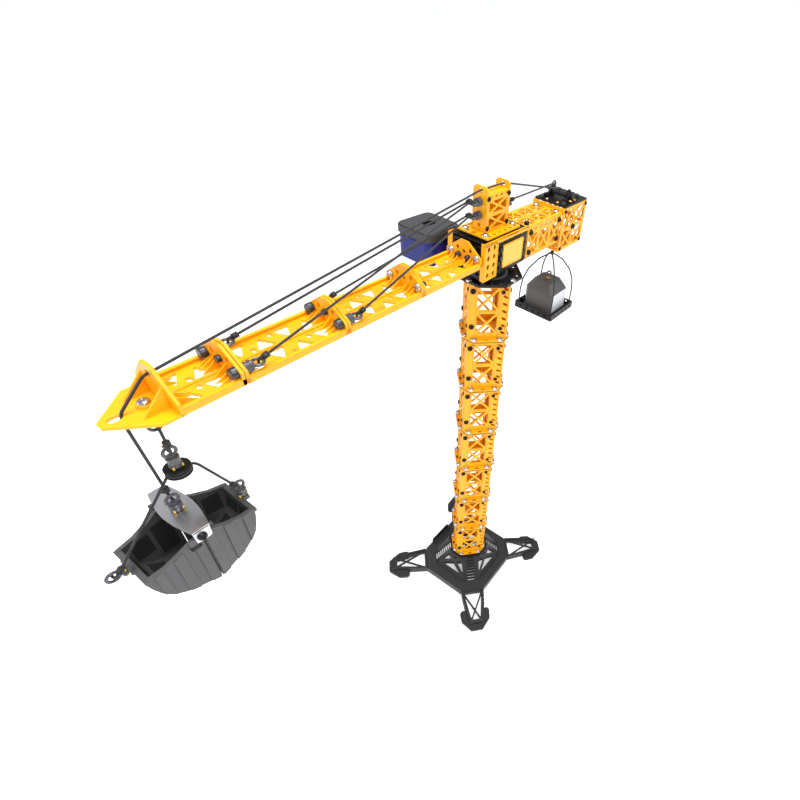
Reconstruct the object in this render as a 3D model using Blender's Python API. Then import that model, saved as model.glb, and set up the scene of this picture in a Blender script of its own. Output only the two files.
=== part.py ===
"""A toy tower crane: lattice tower on a four-toed base, slewing head, jib, clamshell bucket, counterweight.

World axes: +Z up, +X along the jib, the tower's axis on Z, the ground at z = 0. All lengths are in metres.
"""

import math

import bmesh
import bpy
from mathutils import Matrix, Vector

MM = 0.001
GAP = 0.3 * MM

# ---- driving dimensions -------------------------------------------------------------------------
TOWER_TURN = math.radians(136.3)
SECTION_COUNT = 7
SECTION_HEIGHT = 80 * MM
SECTION_HALF = 24 * MM
SECTION_WALL = 1.8 * MM
FLANGE_HALF = 30 * MM
FLANGE_EDGE = 17 * MM
FOOT_Z = 56 * MM
TOWER_TOP = FOOT_Z + SECTION_COUNT * SECTION_HEIGHT

RING_HALF = 76.5 * MM
RING_EDGE = 21.5 * MM
RING_INNER = 61 * MM
RING_INNER_EDGE = 15 * MM
RING_TOP = 16 * MM
TOE_END = 147 * MM

TURNTABLE_HALF = 38.5 * MM
CAB_FLOOR = TOWER_TOP + 10.5 * MM
CAB_TOP = CAB_FLOOR + 42.5 * MM
CAB_X = 40 * MM
CAB_Y = 23.2 * MM

MAST_FRONT = 22.3 * MM
MAST_BACK = -18 * MM
MAST_HALF = 9.3 * MM
MAST_TOP = TOWER_TOP + 102.5 * MM
MAST_HOLE_Z = MAST_TOP - 4.4 * MM

JIB_START = 44 * MM
JIB_PITCH = 87 * MM
JIB_HALF = 23 * MM
JIB_FLOOR = TOWER_TOP + 29.5 * MM
JIB_SKIN = 2.4 * MM
JIB_RIM = 3.2 * MM
NOSE_GABLE = JIB_START + 3 * JIB_PITCH + 44 * MM
NOSE_TIP = JIB_START + 3 * JIB_PITCH + 78 * MM
GABLE_PEAK = 22 * MM
NOSE_PEAK = 28 * MM
NOSE_EYE_X = 357.5 * MM
NOSE_HOLE_X = 374.5 * MM

COUNTER_START = -45 * MM
COUNTER_END = -125 * MM
COUNTER_HALF = 21.5 * MM
COUNTER_LOW = TOWER_TOP + 9.8 * MM
COUNTER_HIGH = TOWER_TOP + 49.5 * MM
BOX_NEAR_X = -122 * MM
BOX_FAR_X = -184.5 * MM
BOX_HALF = 24 * MM
BOX_LOW = TOWER_TOP - 4 * MM
BOX_HIGH = TOWER_TOP + 53.5 * MM

MOTOR_LOW = (4 * MM, -88 * MM, TOWER_TOP + 8 * MM)
MOTOR_HIGH = (58 * MM, -37 * MM, TOWER_TOP + 46 * MM)

WEIGHT_X = -153 * MM
TRAY_Z = 507.5 * MM
TRAY_HALF = 32.4 * MM
WEIGHT_EYE_Z = BOX_LOW - 7 * MM

BUCKET_X = 369 * MM
BUCKET_PIVOT_Z = 543 * MM
SADDLE_HALF = 28.5 * MM
PIVOT_HALF = 24 * MM
LIP_REACH = 40 * MM
LIP_DROP = 17 * MM
LIP_HALF = 20 * MM
BUCKET_DEPTH = 61 * MM
BUCKET_WALL = 2 * MM
PULLEY_Z = 584.5 * MM
PULLEY_X = 357.5 * MM
PULLEY_RADIUS = 8.6 * MM

ROPE = 2 * MM
EYE_RING = 5.2 * MM
EYE_WIRE = 1.1 * MM
EYE_BODY = 4.4 * MM

COLOURS = {
    "yellow_plastic": ((0.93, 0.46, 0.01), 0.38, 0.0),
    "black_plastic": ((0.012, 0.012, 0.013), 0.45, 0.0),
    "base_plastic": ((0.035, 0.036, 0.038), 0.55, 0.0),
    "grey_plastic": ((0.10, 0.105, 0.115), 0.4, 0.0),
    "bucket_plastic": ((0.085, 0.088, 0.092), 0.4, 0.0),
    "blue_plastic": ((0.01, 0.02, 0.10), 0.4, 0.0),
    "saddle_metal": ((0.62, 0.62, 0.64), 0.3, 0.9),
    "weight_plastic": ((0.075, 0.076, 0.08), 0.55, 0.0),
    "rope_cord": ((0.01, 0.01, 0.011), 0.8, 0.0),
}


# ---- scene and helpers --------------------------------------------------------------------------
def clear_scene():
    for obj in list(bpy.data.objects):
        bpy.data.objects.remove(obj, do_unlink=True)


clear_scene()
CRANE = bpy.data.collections.new("toy_tower_crane")
TOOLS = bpy.data.collections.new("tools")
bpy.context.scene.collection.children.link(CRANE)
bpy.context.scene.collection.children.link(TOOLS)
TOOLS.hide_render = True


def make_material(name):
    colour, roughness, metallic = COLOURS[name]
    material = bpy.data.materials.new(name)
    material.use_nodes = True
    shader = material.node_tree.nodes["Principled BSDF"]
    shader.inputs["Base Color"].default_value = (*colour, 1.0)
    shader.inputs["Roughness"].default_value = roughness
    shader.inputs["Metallic"].default_value = metallic
    return material


MATERIALS = {name: make_material(name) for name in COLOURS}


def tool_from(bm, matrix=None):
    """A helper object in the tools collection, from a bmesh."""
    if matrix is not None:
        bmesh.ops.transform(bm, matrix=matrix, verts=bm.verts)
    bmesh.ops.recalc_face_normals(bm, faces=bm.faces)
    mesh = bpy.data.meshes.new("tool")
    bm.to_mesh(mesh)
    bm.free()
    obj = bpy.data.objects.new("tool", mesh)
    obj.display_type = "WIRE"
    TOOLS.objects.link(obj)
    return obj


def block(low, high, matrix=None):
    bm = bmesh.new()
    bmesh.ops.create_cube(bm, size=1.0)
    low, high = Vector(low), Vector(high)
    bmesh.ops.scale(bm, vec=high - low, verts=bm.verts)
    bmesh.ops.translate(bm, vec=(low + high) / 2, verts=bm.verts)
    return tool_from(bm, matrix)


def cylinder(start, end, radius, sides=12, end_radius=None):
    """A closed cylinder or cone from one point to another."""
    start, end = Vector(start), Vector(end)
    bm = bmesh.new()
    far = radius if end_radius is None else end_radius
    bmesh.ops.create_cone(
        bm, cap_ends=True, segments=sides, radius1=radius, radius2=far, depth=(end - start).length
    )
    turn = (end - start).to_track_quat("Z", "Y").to_matrix().to_4x4()
    return tool_from(bm, Matrix.Translation((start + end) / 2) @ turn)


def prism(outline, low, high, matrix=None):
    """An outline in the XY plane pulled up from low to high."""
    bm = bmesh.new()
    face = bm.faces.new([bm.verts.new((x, y, low)) for x, y in outline])
    pulled = bmesh.ops.extrude_face_region(bm, geom=[face])["geom"]
    moved = [item for item in pulled if isinstance(item, bmesh.types.BMVert)]
    bmesh.ops.translate(bm, vec=(0, 0, high - low), verts=moved)
    return tool_from(bm, matrix)


def hull(points):
    bm = bmesh.new()
    for point in points:
        bm.verts.new(point)
    result = bmesh.ops.convex_hull(bm, input=bm.verts)
    loose = [v for v in result["geom_interior"] if isinstance(v, bmesh.types.BMVert)]
    bmesh.ops.delete(bm, geom=loose, context="VERTS")
    return tool_from(bm)


def ring(centre, axis, radius, wire, around=9, across=4):
    """A torus whose hole looks along axis."""
    bm = bmesh.new()
    circle = bmesh.ops.create_circle(bm, segments=across, radius=wire)["verts"]
    bmesh.ops.rotate(bm, verts=circle, matrix=Matrix.Rotation(math.pi / 2, 3, "X"))
    bmesh.ops.translate(bm, verts=circle, vec=(radius, 0, 0))
    bmesh.ops.spin(
        bm, geom=bm.edges[:], cent=(0, 0, 0), axis=(0, 0, 1), angle=math.tau, steps=around
    )
    bmesh.ops.remove_doubles(bm, verts=bm.verts, dist=1e-6)
    turn = Vector(axis).to_track_quat("Z", "Y").to_matrix().to_4x4()
    return tool_from(bm, Matrix.Translation(centre) @ turn)


def combine(obj, others, operation):
    """Applies one exact Boolean against several helpers at once, then drops them."""
    if not others:
        return obj
    group = bpy.data.collections.new("operands")
    TOOLS.children.link(group)
    for other in others:
        TOOLS.objects.unlink(other)
        group.objects.link(other)
    modifier = obj.modifiers.new(operation, "BOOLEAN")
    modifier.operation = operation
    modifier.operand_type = "COLLECTION"
    modifier.collection = group
    modifier.solver = "EXACT"
    graph = bpy.context.evaluated_depsgraph_get()
    mesh = bpy.data.meshes.new_from_object(obj.evaluated_get(graph))
    obj.modifiers.clear()
    obj.data = mesh
    for other in others:
        bpy.data.objects.remove(other, do_unlink=True)
    bpy.data.collections.remove(group)
    return obj


def plate(outline, holes, low, high, matrix=None):
    """A flat plate with holes, pulled from low to high."""
    body = prism(outline, low, high)
    body = combine(body, [prism(hole, low - 1 * MM, high + 1 * MM) for hole in holes], "DIFFERENCE")
    if matrix is not None:
        body.data.transform(matrix)
    return body


def tidy(obj):
    """Merges points that coincide and drops edges that lie inside a flat face."""
    bm = bmesh.new()
    bm.from_mesh(obj.data)
    bmesh.ops.remove_doubles(bm, verts=bm.verts, dist=2e-6)
    bmesh.ops.dissolve_limit(bm, angle_limit=0.002, verts=bm.verts, edges=bm.edges)
    bmesh.ops.triangulate(bm, faces=bm.faces)
    bmesh.ops.dissolve_degenerate(bm, dist=1e-6, edges=bm.edges)
    bm.to_mesh(obj.data)
    bm.free()


def fuse(solids, cuts=()):
    """Joins overlapping solids into one, then takes the cuts away."""
    body = combine(solids[0], list(solids[1:]), "UNION")
    return combine(body, list(cuts), "DIFFERENCE")


def part(name, material, solids, cuts=(), origin=(0, 0, 0), turn=0.0):
    """Makes a named sub-part from helpers, with its origin where it turns."""
    body = fuse(list(solids), list(cuts))
    tidy(body)
    obj = bpy.data.objects.new(name, body.data)
    bpy.data.objects.remove(body, do_unlink=True)
    obj.data.name = name
    obj.data.transform(Matrix.Translation(-Vector(origin)))
    obj.location = origin
    obj.rotation_euler = (0, 0, turn)
    obj.data.materials.clear()
    obj.data.materials.append(MATERIALS[material])
    CRANE.objects.link(obj)
    return obj


def rope(name, points, diameter=ROPE):
    """A round cord along its points, with closed ends."""
    curve = bpy.data.curves.new(name, "CURVE")
    curve.dimensions = "3D"
    curve.bevel_depth = diameter / 2
    curve.bevel_resolution = 1
    curve.use_fill_caps = True
    spline = curve.splines.new("POLY")
    spline.points.add(len(points) - 1)
    for point, place in zip(spline.points, points):
        point.co = (*place, 1)
    curve.materials.append(MATERIALS["rope_cord"])
    obj = bpy.data.objects.new(name, curve)
    CRANE.objects.link(obj)
    return obj


def tube(points, diameter):
    """The same cord as a closed helper mesh, for joining with others."""
    obj = rope("tube", points, diameter)
    graph = bpy.context.evaluated_depsgraph_get()
    bm = bmesh.new()
    bm.from_mesh(bpy.data.meshes.new_from_object(obj.evaluated_get(graph)))
    bpy.data.objects.remove(obj, do_unlink=True)
    bmesh.ops.remove_doubles(bm, verts=bm.verts, dist=1e-6)
    return tool_from(bm)


# ---- outlines -----------------------------------------------------------------------------------
def octagon(half, edge):
    """A square of that half width with its corners cut back to edge."""
    quarter = [(-edge, -half), (edge, -half)]
    points = []
    for step in range(4):
        c, s = round(math.cos(step * math.pi / 2)), round(math.sin(step * math.pi / 2))
        points += [(x * c - y * s, x * s + y * c) for x, y in quarter]
    return points


def disc(x, y, radius, sides=8, stretch=1.0, lean=0.0):
    """A circle, or an ellipse stretched along a leaning axis."""
    points = []
    for step in range(sides):
        angle = math.tau * (step + 0.5) / sides
        u, v = radius * stretch * math.cos(angle), radius * math.sin(angle)
        points.append((x + u * math.cos(lean) - v * math.sin(lean), y + u * math.sin(lean) + v * math.cos(lean)))
    return points


def rectangle(x0, y0, x1, y1):
    return [(x0, y0), (x1, y0), (x1, y1), (x0, y1)]


def inset(outline, distance):
    """A convex outline, given counter-clockwise, with every side moved inwards."""
    count = len(outline)
    lines = []
    for index in range(count):
        a, b = Vector(outline[index]), Vector(outline[(index + 1) % count])
        along = (b - a).normalized()
        lines.append((a + Vector((-along.y, along.x)) * distance, along))
    points = []
    for index in range(count):
        (p, d), (q, e) = lines[index - 1], lines[index]
        cross = d.x * e.y - d.y * e.x
        reach = ((q.x - p.x) * e.y - (q.y - p.y) * e.x) / cross
        points.append(tuple(p + d * reach))
    return points


def cross_braces(quad, bar):
    """The four triangular openings that two diagonals leave in a quadrilateral."""
    a, b, c, d = (Vector(point) for point in quad)
    u, v = c - a, d - b
    reach = ((b.x - a.x) * v.y - (b.y - a.y) * v.x) / (u.x * v.y - u.y * v.x)
    middle = a + u * reach
    holes = []
    for p, q in ((a, b), (b, c), (c, d), (d, a)):
        holes.append(inset([tuple(p), tuple(q), tuple(middle)], bar / 2))
    return holes


def upright(x=0.0, y=0.0, z=0.0, turn=0.0):
    """Stands a plate up: its x runs along the turned X axis, its y runs up, its pull is sideways."""
    return Matrix.Translation((x, y, z)) @ Matrix.Rotation(turn, 4, "Z") @ Matrix.Rotation(math.pi / 2, 4, "X")


ALONG_X = 0.0
ACROSS = math.pi / 2


# ---- base ---------------------------------------------------------------------------------------
def base_frame():
    outer, inner = octagon(RING_HALF, RING_EDGE), octagon(RING_INNER, RING_INNER_EDGE)
    foot = octagon(FLANGE_HALF + 1.5 * MM, FLANGE_EDGE + 1 * MM)
    deck = RING_TOP - 2.6 * MM
    ring_body = prism(outer, 3 * MM, RING_TOP)
    cone = hull(
        [(x, y, RING_TOP) for x, y in inner]
        + [(x, y, deck) for x, y in inner]
        + [(x, y, FOOT_Z - GAP) for x, y in foot]
    )
    hollow = hull(
        [(x * 0.965, y * 0.965, deck - 0.4 * MM) for x, y in inner]
        + [(x * 0.9, y * 0.9, FOOT_Z - 4.5 * MM) for x, y in foot]
    )
    under = prism(inset(outer, 2.2 * MM), -5 * MM, deck)
    opening = prism(octagon(RING_INNER - 1 * MM, RING_INNER_EDGE), -5 * MM, deck - 0.2 * MM)
    shell = combine(ring_body, [cone], "UNION")
    lip = combine(
        prism(octagon(RING_INNER + 2 * MM, RING_INNER_EDGE + 0.8 * MM), 3 * MM, deck + 1 * MM), [opening], "DIFFERENCE"
    )
    shell = combine(shell, [under, hollow], "DIFFERENCE")
    cuts = [prism(octagon(14 * MM, 9 * MM), FOOT_Z - 12 * MM, FOOT_Z + 5 * MM)]
    for step in range(4):
        turn = Matrix.Rotation(step * math.pi / 2, 4, "Z")
        for rung in range(3):
            at = -(54 - 7.5 * rung) * MM
            cuts.append(prism(rectangle(-6 * MM, at - 1.9 * MM, 6 * MM, at + 1.9 * MM), 0, 60 * MM, turn))
        quad = [(12.5 * MM, -58.5 * MM), (58.5 * MM, -12.5 * MM), (36 * MM, -14 * MM), (14 * MM, -36 * MM)]
        for hole in cross_braces(inset(quad, 0.4 * MM), 3 * MM):
            cuts.append(prism(hole, 0, 60 * MM, turn))
    hub = cylinder((0, 0, 0), (0, 0, FOOT_Z - 4 * MM), 6 * MM, 10)
    strut = [block((-13.2 * MM, -3 * MM, FOOT_Z - 7 * MM), (13.2 * MM, 3 * MM, FOOT_Z - 3.2 * MM))]
    strut.append(block((-3 * MM, -21 * MM, FOOT_Z - 7 * MM), (3 * MM, 21 * MM, FOOT_Z - 3.2 * MM)))
    body = fuse([shell, lip], cuts)
    part("base_frame", "base_plastic", [body, hub, *strut, *base_channel()], turn=TOWER_TURN)


def leg(number):
    """One leg: a tapering box frame with a crossed floor, on an eight-sided toe."""
    wide, middle, narrow = 21 * MM, 17 * MM, 11.5 * MM
    start, end = RING_HALF + GAP, 139 * MM
    outline = [(start, -wide), (112 * MM, -middle), (end, -narrow), (end, narrow), (112 * MM, middle), (start, wide)]
    toe = [(110 * MM, -23 * MM), (114 * MM, -26.5 * MM), (129 * MM, -25 * MM), (TOE_END, -10 * MM)]
    toe += [(x, -y) for x, y in reversed(toe)]
    window = [(start + 3 * MM, -wide + 3.2 * MM), (end - 5.5 * MM, -narrow + 2.6 * MM)]
    window += [(x, -y) for x, y in reversed(window)]
    frame = prism(outline, 3 * MM, RING_TOP)
    pad = prism(toe, 0, 8 * MM)
    ledge = prism(inset(toe, 2.5 * MM), 7 * MM, 10 * MM)
    cavity = prism(window, -1 * MM, 20 * MM)
    braces = plate(inset(window, -1.5 * MM), cross_braces(window, 2.2 * MM), 10 * MM, 13 * MM)
    body = fuse([frame, pad, ledge], [cavity])
    obj = part(f"leg_{number}", "base_plastic", [body, braces])
    obj.rotation_euler = (0, 0, TOWER_TURN + (number - 1) * math.pi / 2 - math.pi / 2)


def base_channel():
    """The raised rail along the ring's back-left side."""
    turn = Matrix.Rotation(math.pi / 4 + math.pi, 4, "Z")
    side = (RING_HALF + RING_EDGE) / math.sqrt(2)
    low = block((-22 * MM, -side + 0.6 * MM, RING_TOP - 1 * MM), (22 * MM, -side + 9 * MM, RING_TOP + 2.4 * MM), turn)
    wall = block((-22 * MM, -side + 0.6 * MM, RING_TOP - 1 * MM), (22 * MM, -side + 2.8 * MM, RING_TOP + 11 * MM), turn)
    return [low, wall]


# ---- tower --------------------------------------------------------------------------------------
def section_wall():
    """One side of a section, standing along X on the side that faces -Y: two crossed windows, one above the other."""
    half, height = SECTION_HALF, SECTION_HEIGHT - GAP
    left, right, middle = -half + 9.5 * MM, half - 11.5 * MM, height / 2
    holes = []
    for low, high in ((6.5 * MM, middle - 0.8 * MM), (middle + 0.8 * MM, height - 6.5 * MM)):
        holes += cross_braces(rectangle(left, low, right, high), 2.4 * MM)
    outline = rectangle(-half, 0.5 * MM, half - 0.5 * MM, height - 0.5 * MM)
    return [plate(outline, holes, 0, SECTION_WALL, upright(y=-half + SECTION_WALL))]


def section_mesh():
    pieces = []
    for step in range(4):
        turn = Matrix.Rotation(step * math.pi / 2, 4, "Z")
        for piece in section_wall():
            piece.data.transform(turn)
            pieces.append(piece)
    rim = octagon(FLANGE_HALF, FLANGE_EDGE)
    bore = octagon(15.5 * MM, 11 * MM)
    top = SECTION_HEIGHT - GAP
    pieces.append(plate(rim, [bore], 0, SECTION_WALL))
    pieces.append(plate(rim, [bore], top - SECTION_WALL, top))
    return pieces


def tower():
    first = part("tower_section_1", "yellow_plastic", section_mesh(), turn=TOWER_TURN)
    first.location = (0, 0, FOOT_Z)
    for number in range(2, SECTION_COUNT + 1):
        copy = bpy.data.objects.new(f"tower_section_{number}", first.data)
        copy.location = (0, 0, FOOT_Z + (number - 1) * SECTION_HEIGHT)
        copy.rotation_euler = (0, 0, TOWER_TURN)
        CRANE.objects.link(copy)


def turntable():
    slots = []
    for step in range(4):
        angle = step * math.pi / 2
        for side in (-11, 11):
            x, y = side * MM, -TURNTABLE_HALF + 5.5 * MM
            c, s = math.cos(angle), math.sin(angle)
            slots.append(disc(x * c - y * s, x * s + y * c, 1.8 * MM, 6, 1.5, angle))
    low = TOWER_TOP
    deck = plate(octagon(TURNTABLE_HALF, 16 * MM), slots, low, low + 2 * MM)
    pin = cylinder((0, 0, low + 1 * MM), (0, 0, CAB_FLOOR - 1.5 * MM), 4 * MM, 12)
    part("turntable_lower", "black_plastic", [deck, pin], turn=TOWER_TURN)


# ---- head ---------------------------------------------------------------------------------------
def hole_grid(x_from, x_to, columns, y_from, y_to, rows, radius, sides=8):
    holes = []
    for column in range(columns):
        for row in range(rows):
            x = x_from + (x_to - x_from) * (column / max(columns - 1, 1))
            y = y_from + (y_to - y_from) * (row / max(rows - 1, 1))
            holes.append(disc(x, y, radius, sides))
    return holes


def cab():
    skin = 1.6 * MM
    inner_y = CAB_Y - 1.2 * MM
    side = rectangle(-CAB_X, 0, CAB_X, CAB_TOP - CAB_FLOOR - 1.6 * MM)
    rim_holes = hole_grid(-34 * MM, 12 * MM, 3, 36 * MM, 36 * MM, 1, 2 * MM, 6)
    walls = [
        plate(side, rim_holes, 0, skin, upright(y=CAB_Y - GAP, z=CAB_FLOOR)),
        plate(side, rim_holes, 0, skin, upright(y=-CAB_Y + GAP + skin, z=CAB_FLOOR)),
    ]
    end = rectangle(-inner_y, 0, inner_y, CAB_TOP - CAB_FLOOR - 1.6 * MM)
    end_holes = [disc(0, 21 * MM, 11 * MM, 8)]
    walls.append(plate(end, end_holes, 0, skin, upright(x=CAB_X - skin - 0.01 * MM, z=CAB_FLOOR, turn=ACROSS)))
    walls.append(plate(end, end_holes, 0, skin, upright(x=-CAB_X + 0.01 * MM, z=CAB_FLOOR, turn=ACROSS)))
    deck = rectangle(-CAB_X, -inner_y, CAB_X, inner_y)
    walls.append(plate(deck, [disc(0, 0, 6 * MM, 12)], CAB_FLOOR, CAB_FLOOR + skin))
    roof_holes = hole_grid(-35 * MM, 37 * MM, 2, -16 * MM, 16 * MM, 3, 1.9 * MM, 6)
    roof_low = CAB_TOP - 1.6 * MM - skin
    walls.append(plate(deck, roof_holes, roof_low, roof_low + skin + 0.4 * MM))
    walls.append(cylinder((0, 0, TOWER_TOP + 2.3 * MM), (0, 0, CAB_FLOOR + 1 * MM), 21 * MM, 20))
    walls.append(block((6 * MM, MOTOR_HIGH[1] - 1.2 * MM, CAB_FLOOR + 5 * MM), (16 * MM, -inner_y + 1 * MM, CAB_FLOOR + 18 * MM)))
    bore = cylinder((0, 0, TOWER_TOP), (0, 0, CAB_FLOOR + 5 * MM), 4.4 * MM, 12)
    part("cab_shell", "black_plastic", walls, [bore])
    for name, sign in (("near", 1), ("far", -1)):
        height = CAB_TOP - CAB_FLOOR
        holes = hole_grid(24.2 * MM, 34.2 * MM, 2, 6 * MM, height - 7 * MM, 4, 2.7 * MM, 6)
        leg_side = plate(rectangle(18.8 * MM, 0, CAB_X + 2 * MM, height), holes, 0, 1.4 * MM)
        at = CAB_Y + GAP + (1.4 * MM if sign > 0 else 0)
        leg_side.data.transform(upright(y=sign * CAB_Y + sign * GAP + (1.4 * MM if sign > 0 else 0), z=CAB_FLOOR))
        strip_outer = sign * (CAB_Y + GAP + 1.4 * MM)
        strip_inner = sign * (CAB_Y - 1 * MM)
        low_y, high_y = min(strip_outer, strip_inner), max(strip_outer, strip_inner)
        strip = block((-CAB_X, low_y, CAB_TOP - 1.2 * MM), (CAB_X + 2 * MM, high_y, CAB_TOP))
        drop_low, drop_high = sorted((sign * (CAB_Y + GAP), strip_outer))
        drop = block((-CAB_X, drop_low, CAB_TOP - 4 * MM), (CAB_X + 2 * MM, drop_high, CAB_TOP))
        front_low, front_high = sorted((strip_outer, sign * (CAB_Y - 3.5 * MM)))
        front = block((CAB_X + GAP, front_low, CAB_FLOOR), (CAB_X + 1.7 * MM, front_high, CAB_TOP))
        part(f"cab_angle_{name}", "yellow_plastic", [leg_side, strip, drop, front])
    sign_low = CAB_Y + GAP
    part(
        "cab_sign",
        "yellow_plastic",
        [block((-31 * MM, sign_low, CAB_FLOOR + 6 * MM), (8 * MM, sign_low + 1.5 * MM, CAB_FLOOR + 33 * MM))],
    )
    holes = hole_grid(-23 * MM, 27 * MM, 4, -16.5 * MM, 16.5 * MM, 2, 2 * MM, 6)
    outline = rectangle(-28 * MM, -20.6 * MM, 33 * MM, 20.6 * MM)
    part("cab_roof", "yellow_plastic", [plate(outline, holes, CAB_TOP + GAP, CAB_TOP + 3 * MM)])


def mast():
    """Two end walls with a rope hole at the top, and two crossed side walls between them."""
    foot, skin, half, cut = CAB_TOP + 3 * MM + GAP, 2 * MM, MAST_HALF, 3 * MM
    wall = [(-half, foot), (half, foot), (half, MAST_TOP - cut), (half - cut, MAST_TOP)]
    wall += [(cut - half, MAST_TOP), (-half, MAST_TOP - cut)]
    holes = [disc(0, foot + 6 * MM, 2 * MM), disc(0, MAST_HOLE_Z, 2.3 * MM, 12, 1.35)]
    solids = [
        plate(wall, holes, 0, skin, upright(x=MAST_FRONT - skin, turn=ACROSS)),
        plate(wall, holes, 0, skin, upright(x=MAST_BACK, turn=ACROSS)),
    ]
    head = MAST_TOP - 7.5 * MM
    side = rectangle(MAST_BACK + 1 * MM, foot, MAST_FRONT - 1 * MM, head)
    holes = []
    middle = (foot + head - 4.5 * MM) / 2
    for low, high in ((foot + 1 * MM, middle - 0.7 * MM), (middle + 0.7 * MM, head - 6 * MM)):
        holes += cross_braces(rectangle(MAST_BACK + 3.6 * MM, low, MAST_FRONT - 3.6 * MM, high), 2.2 * MM)
    solids.append(plate(side, holes, 0, skin, upright(y=half - 0.01 * MM)))
    solids.append(plate(side, holes, 0, skin, upright(y=-half + skin + 0.01 * MM)))
    part("mast", "yellow_plastic", solids)


def eyebolt(name, base, axis, flat, shank=8 * MM, neck=0.0):
    """A moulded eye: a round body standing on base along axis, and a ring whose hole looks along flat."""
    base, axis = Vector(base), Vector(axis).normalized()
    start = base + axis * GAP
    neck_top = start + axis * neck
    shoulder = neck_top + axis * shank
    centre = shoulder + axis * (EYE_RING - 0.5 * MM)
    solids = [cylinder(neck_top - axis * 0.01 * MM, shoulder, EYE_BODY, 8)]
    if neck:
        solids.append(cylinder(start, neck_top + axis * 1 * MM, 2 * MM, 8))
    solids.append(ring(centre, flat, EYE_RING - EYE_WIRE, EYE_WIRE))
    part(name, "grey_plastic", solids)
    return centre


# ---- jib ----------------------------------------------------------------------------------------
def gable(x, foot_half, peak, side, holes):
    """A cross wall whose top runs up to a blunt peak; side is the direction its thickness grows."""
    rim = JIB_FLOOR - 2 * MM
    outline = [(-foot_half, rim), (foot_half, rim), (foot_half, JIB_FLOOR + 8 * MM), (5 * MM, JIB_FLOOR + peak)]
    outline += [(-5 * MM, JIB_FLOOR + peak), (-foot_half, JIB_FLOOR + 8 * MM)]
    at = x if side < 0 else x + 1.9 * MM
    return plate(outline, holes, 0, 1.9 * MM, upright(x=at - 1.9 * MM, turn=ACROSS))


def floor_holes(length, start, end_fan):
    """The openings of a segment's floor: two mirrored bands of triangles and ovals."""
    bands = []
    reach = length - 9 * MM
    inner, outer = 1.6 * MM, JIB_HALF - 3.2 * MM
    count = max(2, round(reach / (26 * MM)))
    step = reach / count
    for index in range(count):
        x0, x1 = start + 4.5 * MM + index * step, start + 4.5 * MM + (index + 1) * step
        middle = (x0 + x1) / 2
        for sign in (1, -1):
            low, high = (inner, outer) if (index % 2 == 0) else (outer, inner)
            main = [(x0, sign * low), (x1, sign * low), (middle, sign * high)]
            if (main[1][0] - main[0][0]) * (main[2][1] - main[0][1]) < 0:
                main = [main[1], main[0], main[2]]
            bands.append(inset(main, 1.3 * MM))
            bands.append(disc(x0, sign * high * 0.8 + sign * low * 0.2, 2.6 * MM, 6, 1.25, 0))
    return bands


def jib_segment(number):
    start = JIB_START + (number - 1) * JIB_PITCH + (GAP if number > 1 else 0)
    end = JIB_START + number * JIB_PITCH - GAP if number < 4 else NOSE_GABLE
    span = end - start
    floor_low, floor_high = JIB_FLOOR - JIB_SKIN, JIB_FLOOR
    floor = plate(
        rectangle(start, -JIB_HALF + 1 * MM, end, JIB_HALF - 1 * MM), floor_holes(span, start, True), floor_low, floor_high
    )
    solids = [floor]
    for sign in (1, -1):
        low_y, high_y = sorted((sign * JIB_HALF, sign * (JIB_HALF - 2.2 * MM)))
        solids.append(block((start, low_y, floor_low), (end, high_y, floor_low + JIB_RIM)))
    solids.append(block((start, -1.1 * MM, floor_low), (end, 1.1 * MM, floor_high + 1.2 * MM)))
    bolts = [disc(17.5 * MM, JIB_FLOOR + 7 * MM, 2 * MM), disc(-17.5 * MM, JIB_FLOOR + 7 * MM, 2 * MM)]
    bolts.append(disc(0, JIB_FLOOR + 10 * MM, 2 * MM))
    solids.append(gable(start, JIB_HALF, GABLE_PEAK, 1, bolts))
    if number < 4:
        solids.append(gable(end, JIB_HALF, GABLE_PEAK, -1, bolts))
    else:
        rope_hole = [disc(0, JIB_FLOOR + 20.5 * MM, 2.6 * MM, 10)]
        solids.append(gable(NOSE_GABLE, JIB_HALF + 1 * MM, NOSE_PEAK, -1, rope_hole))
        solids += nose()
    fans = []
    for at, way in ((start + 1.2 * MM, 1), (end - 1.2 * MM, -1)):
        for y in (-7 * MM, 7 * MM):
            rise = 9 * MM - abs(y) * 0.25
            wedge = [(0, JIB_FLOOR - 1 * MM), (way * 12 * MM, JIB_FLOOR - 1 * MM), (0, JIB_FLOOR + rise)]
            if way < 0:
                wedge.reverse()
            fans.append(prism(wedge, -0.7 * MM, 0.7 * MM, upright(x=at, y=y)))
    part(f"jib_segment_{number}", "yellow_plastic", solids + fans)


def nose():
    """The pointed end plate, its raised edge, and the two fins behind the cross wall."""
    full = JIB_HALF + 1 * MM
    outline = [(NOSE_GABLE - 1 * MM, -full), (NOSE_GABLE + 11 * MM, -full), (NOSE_TIP, -3 * MM), (NOSE_TIP, 3 * MM)]
    outline += [(NOSE_GABLE + 11 * MM, full), (NOSE_GABLE - 1 * MM, full)]
    holes = [disc(NOSE_EYE_X, 0, 2 * MM, 10), disc(NOSE_HOLE_X, 0, 3 * MM, 12, 1.5)]
    solids = [plate(outline, holes, JIB_FLOOR - 2 * MM, JIB_FLOOR)]
    for y in (-12 * MM, 12 * MM):
        fin = [(0, JIB_FLOOR - 1 * MM), (17 * MM, JIB_FLOOR - 1 * MM), (0, JIB_FLOOR + 17 * MM)]
        solids.append(prism(fin, -0.8 * MM, 0.8 * MM, upright(x=NOSE_GABLE - 0.5 * MM, y=y)))
    return solids


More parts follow.
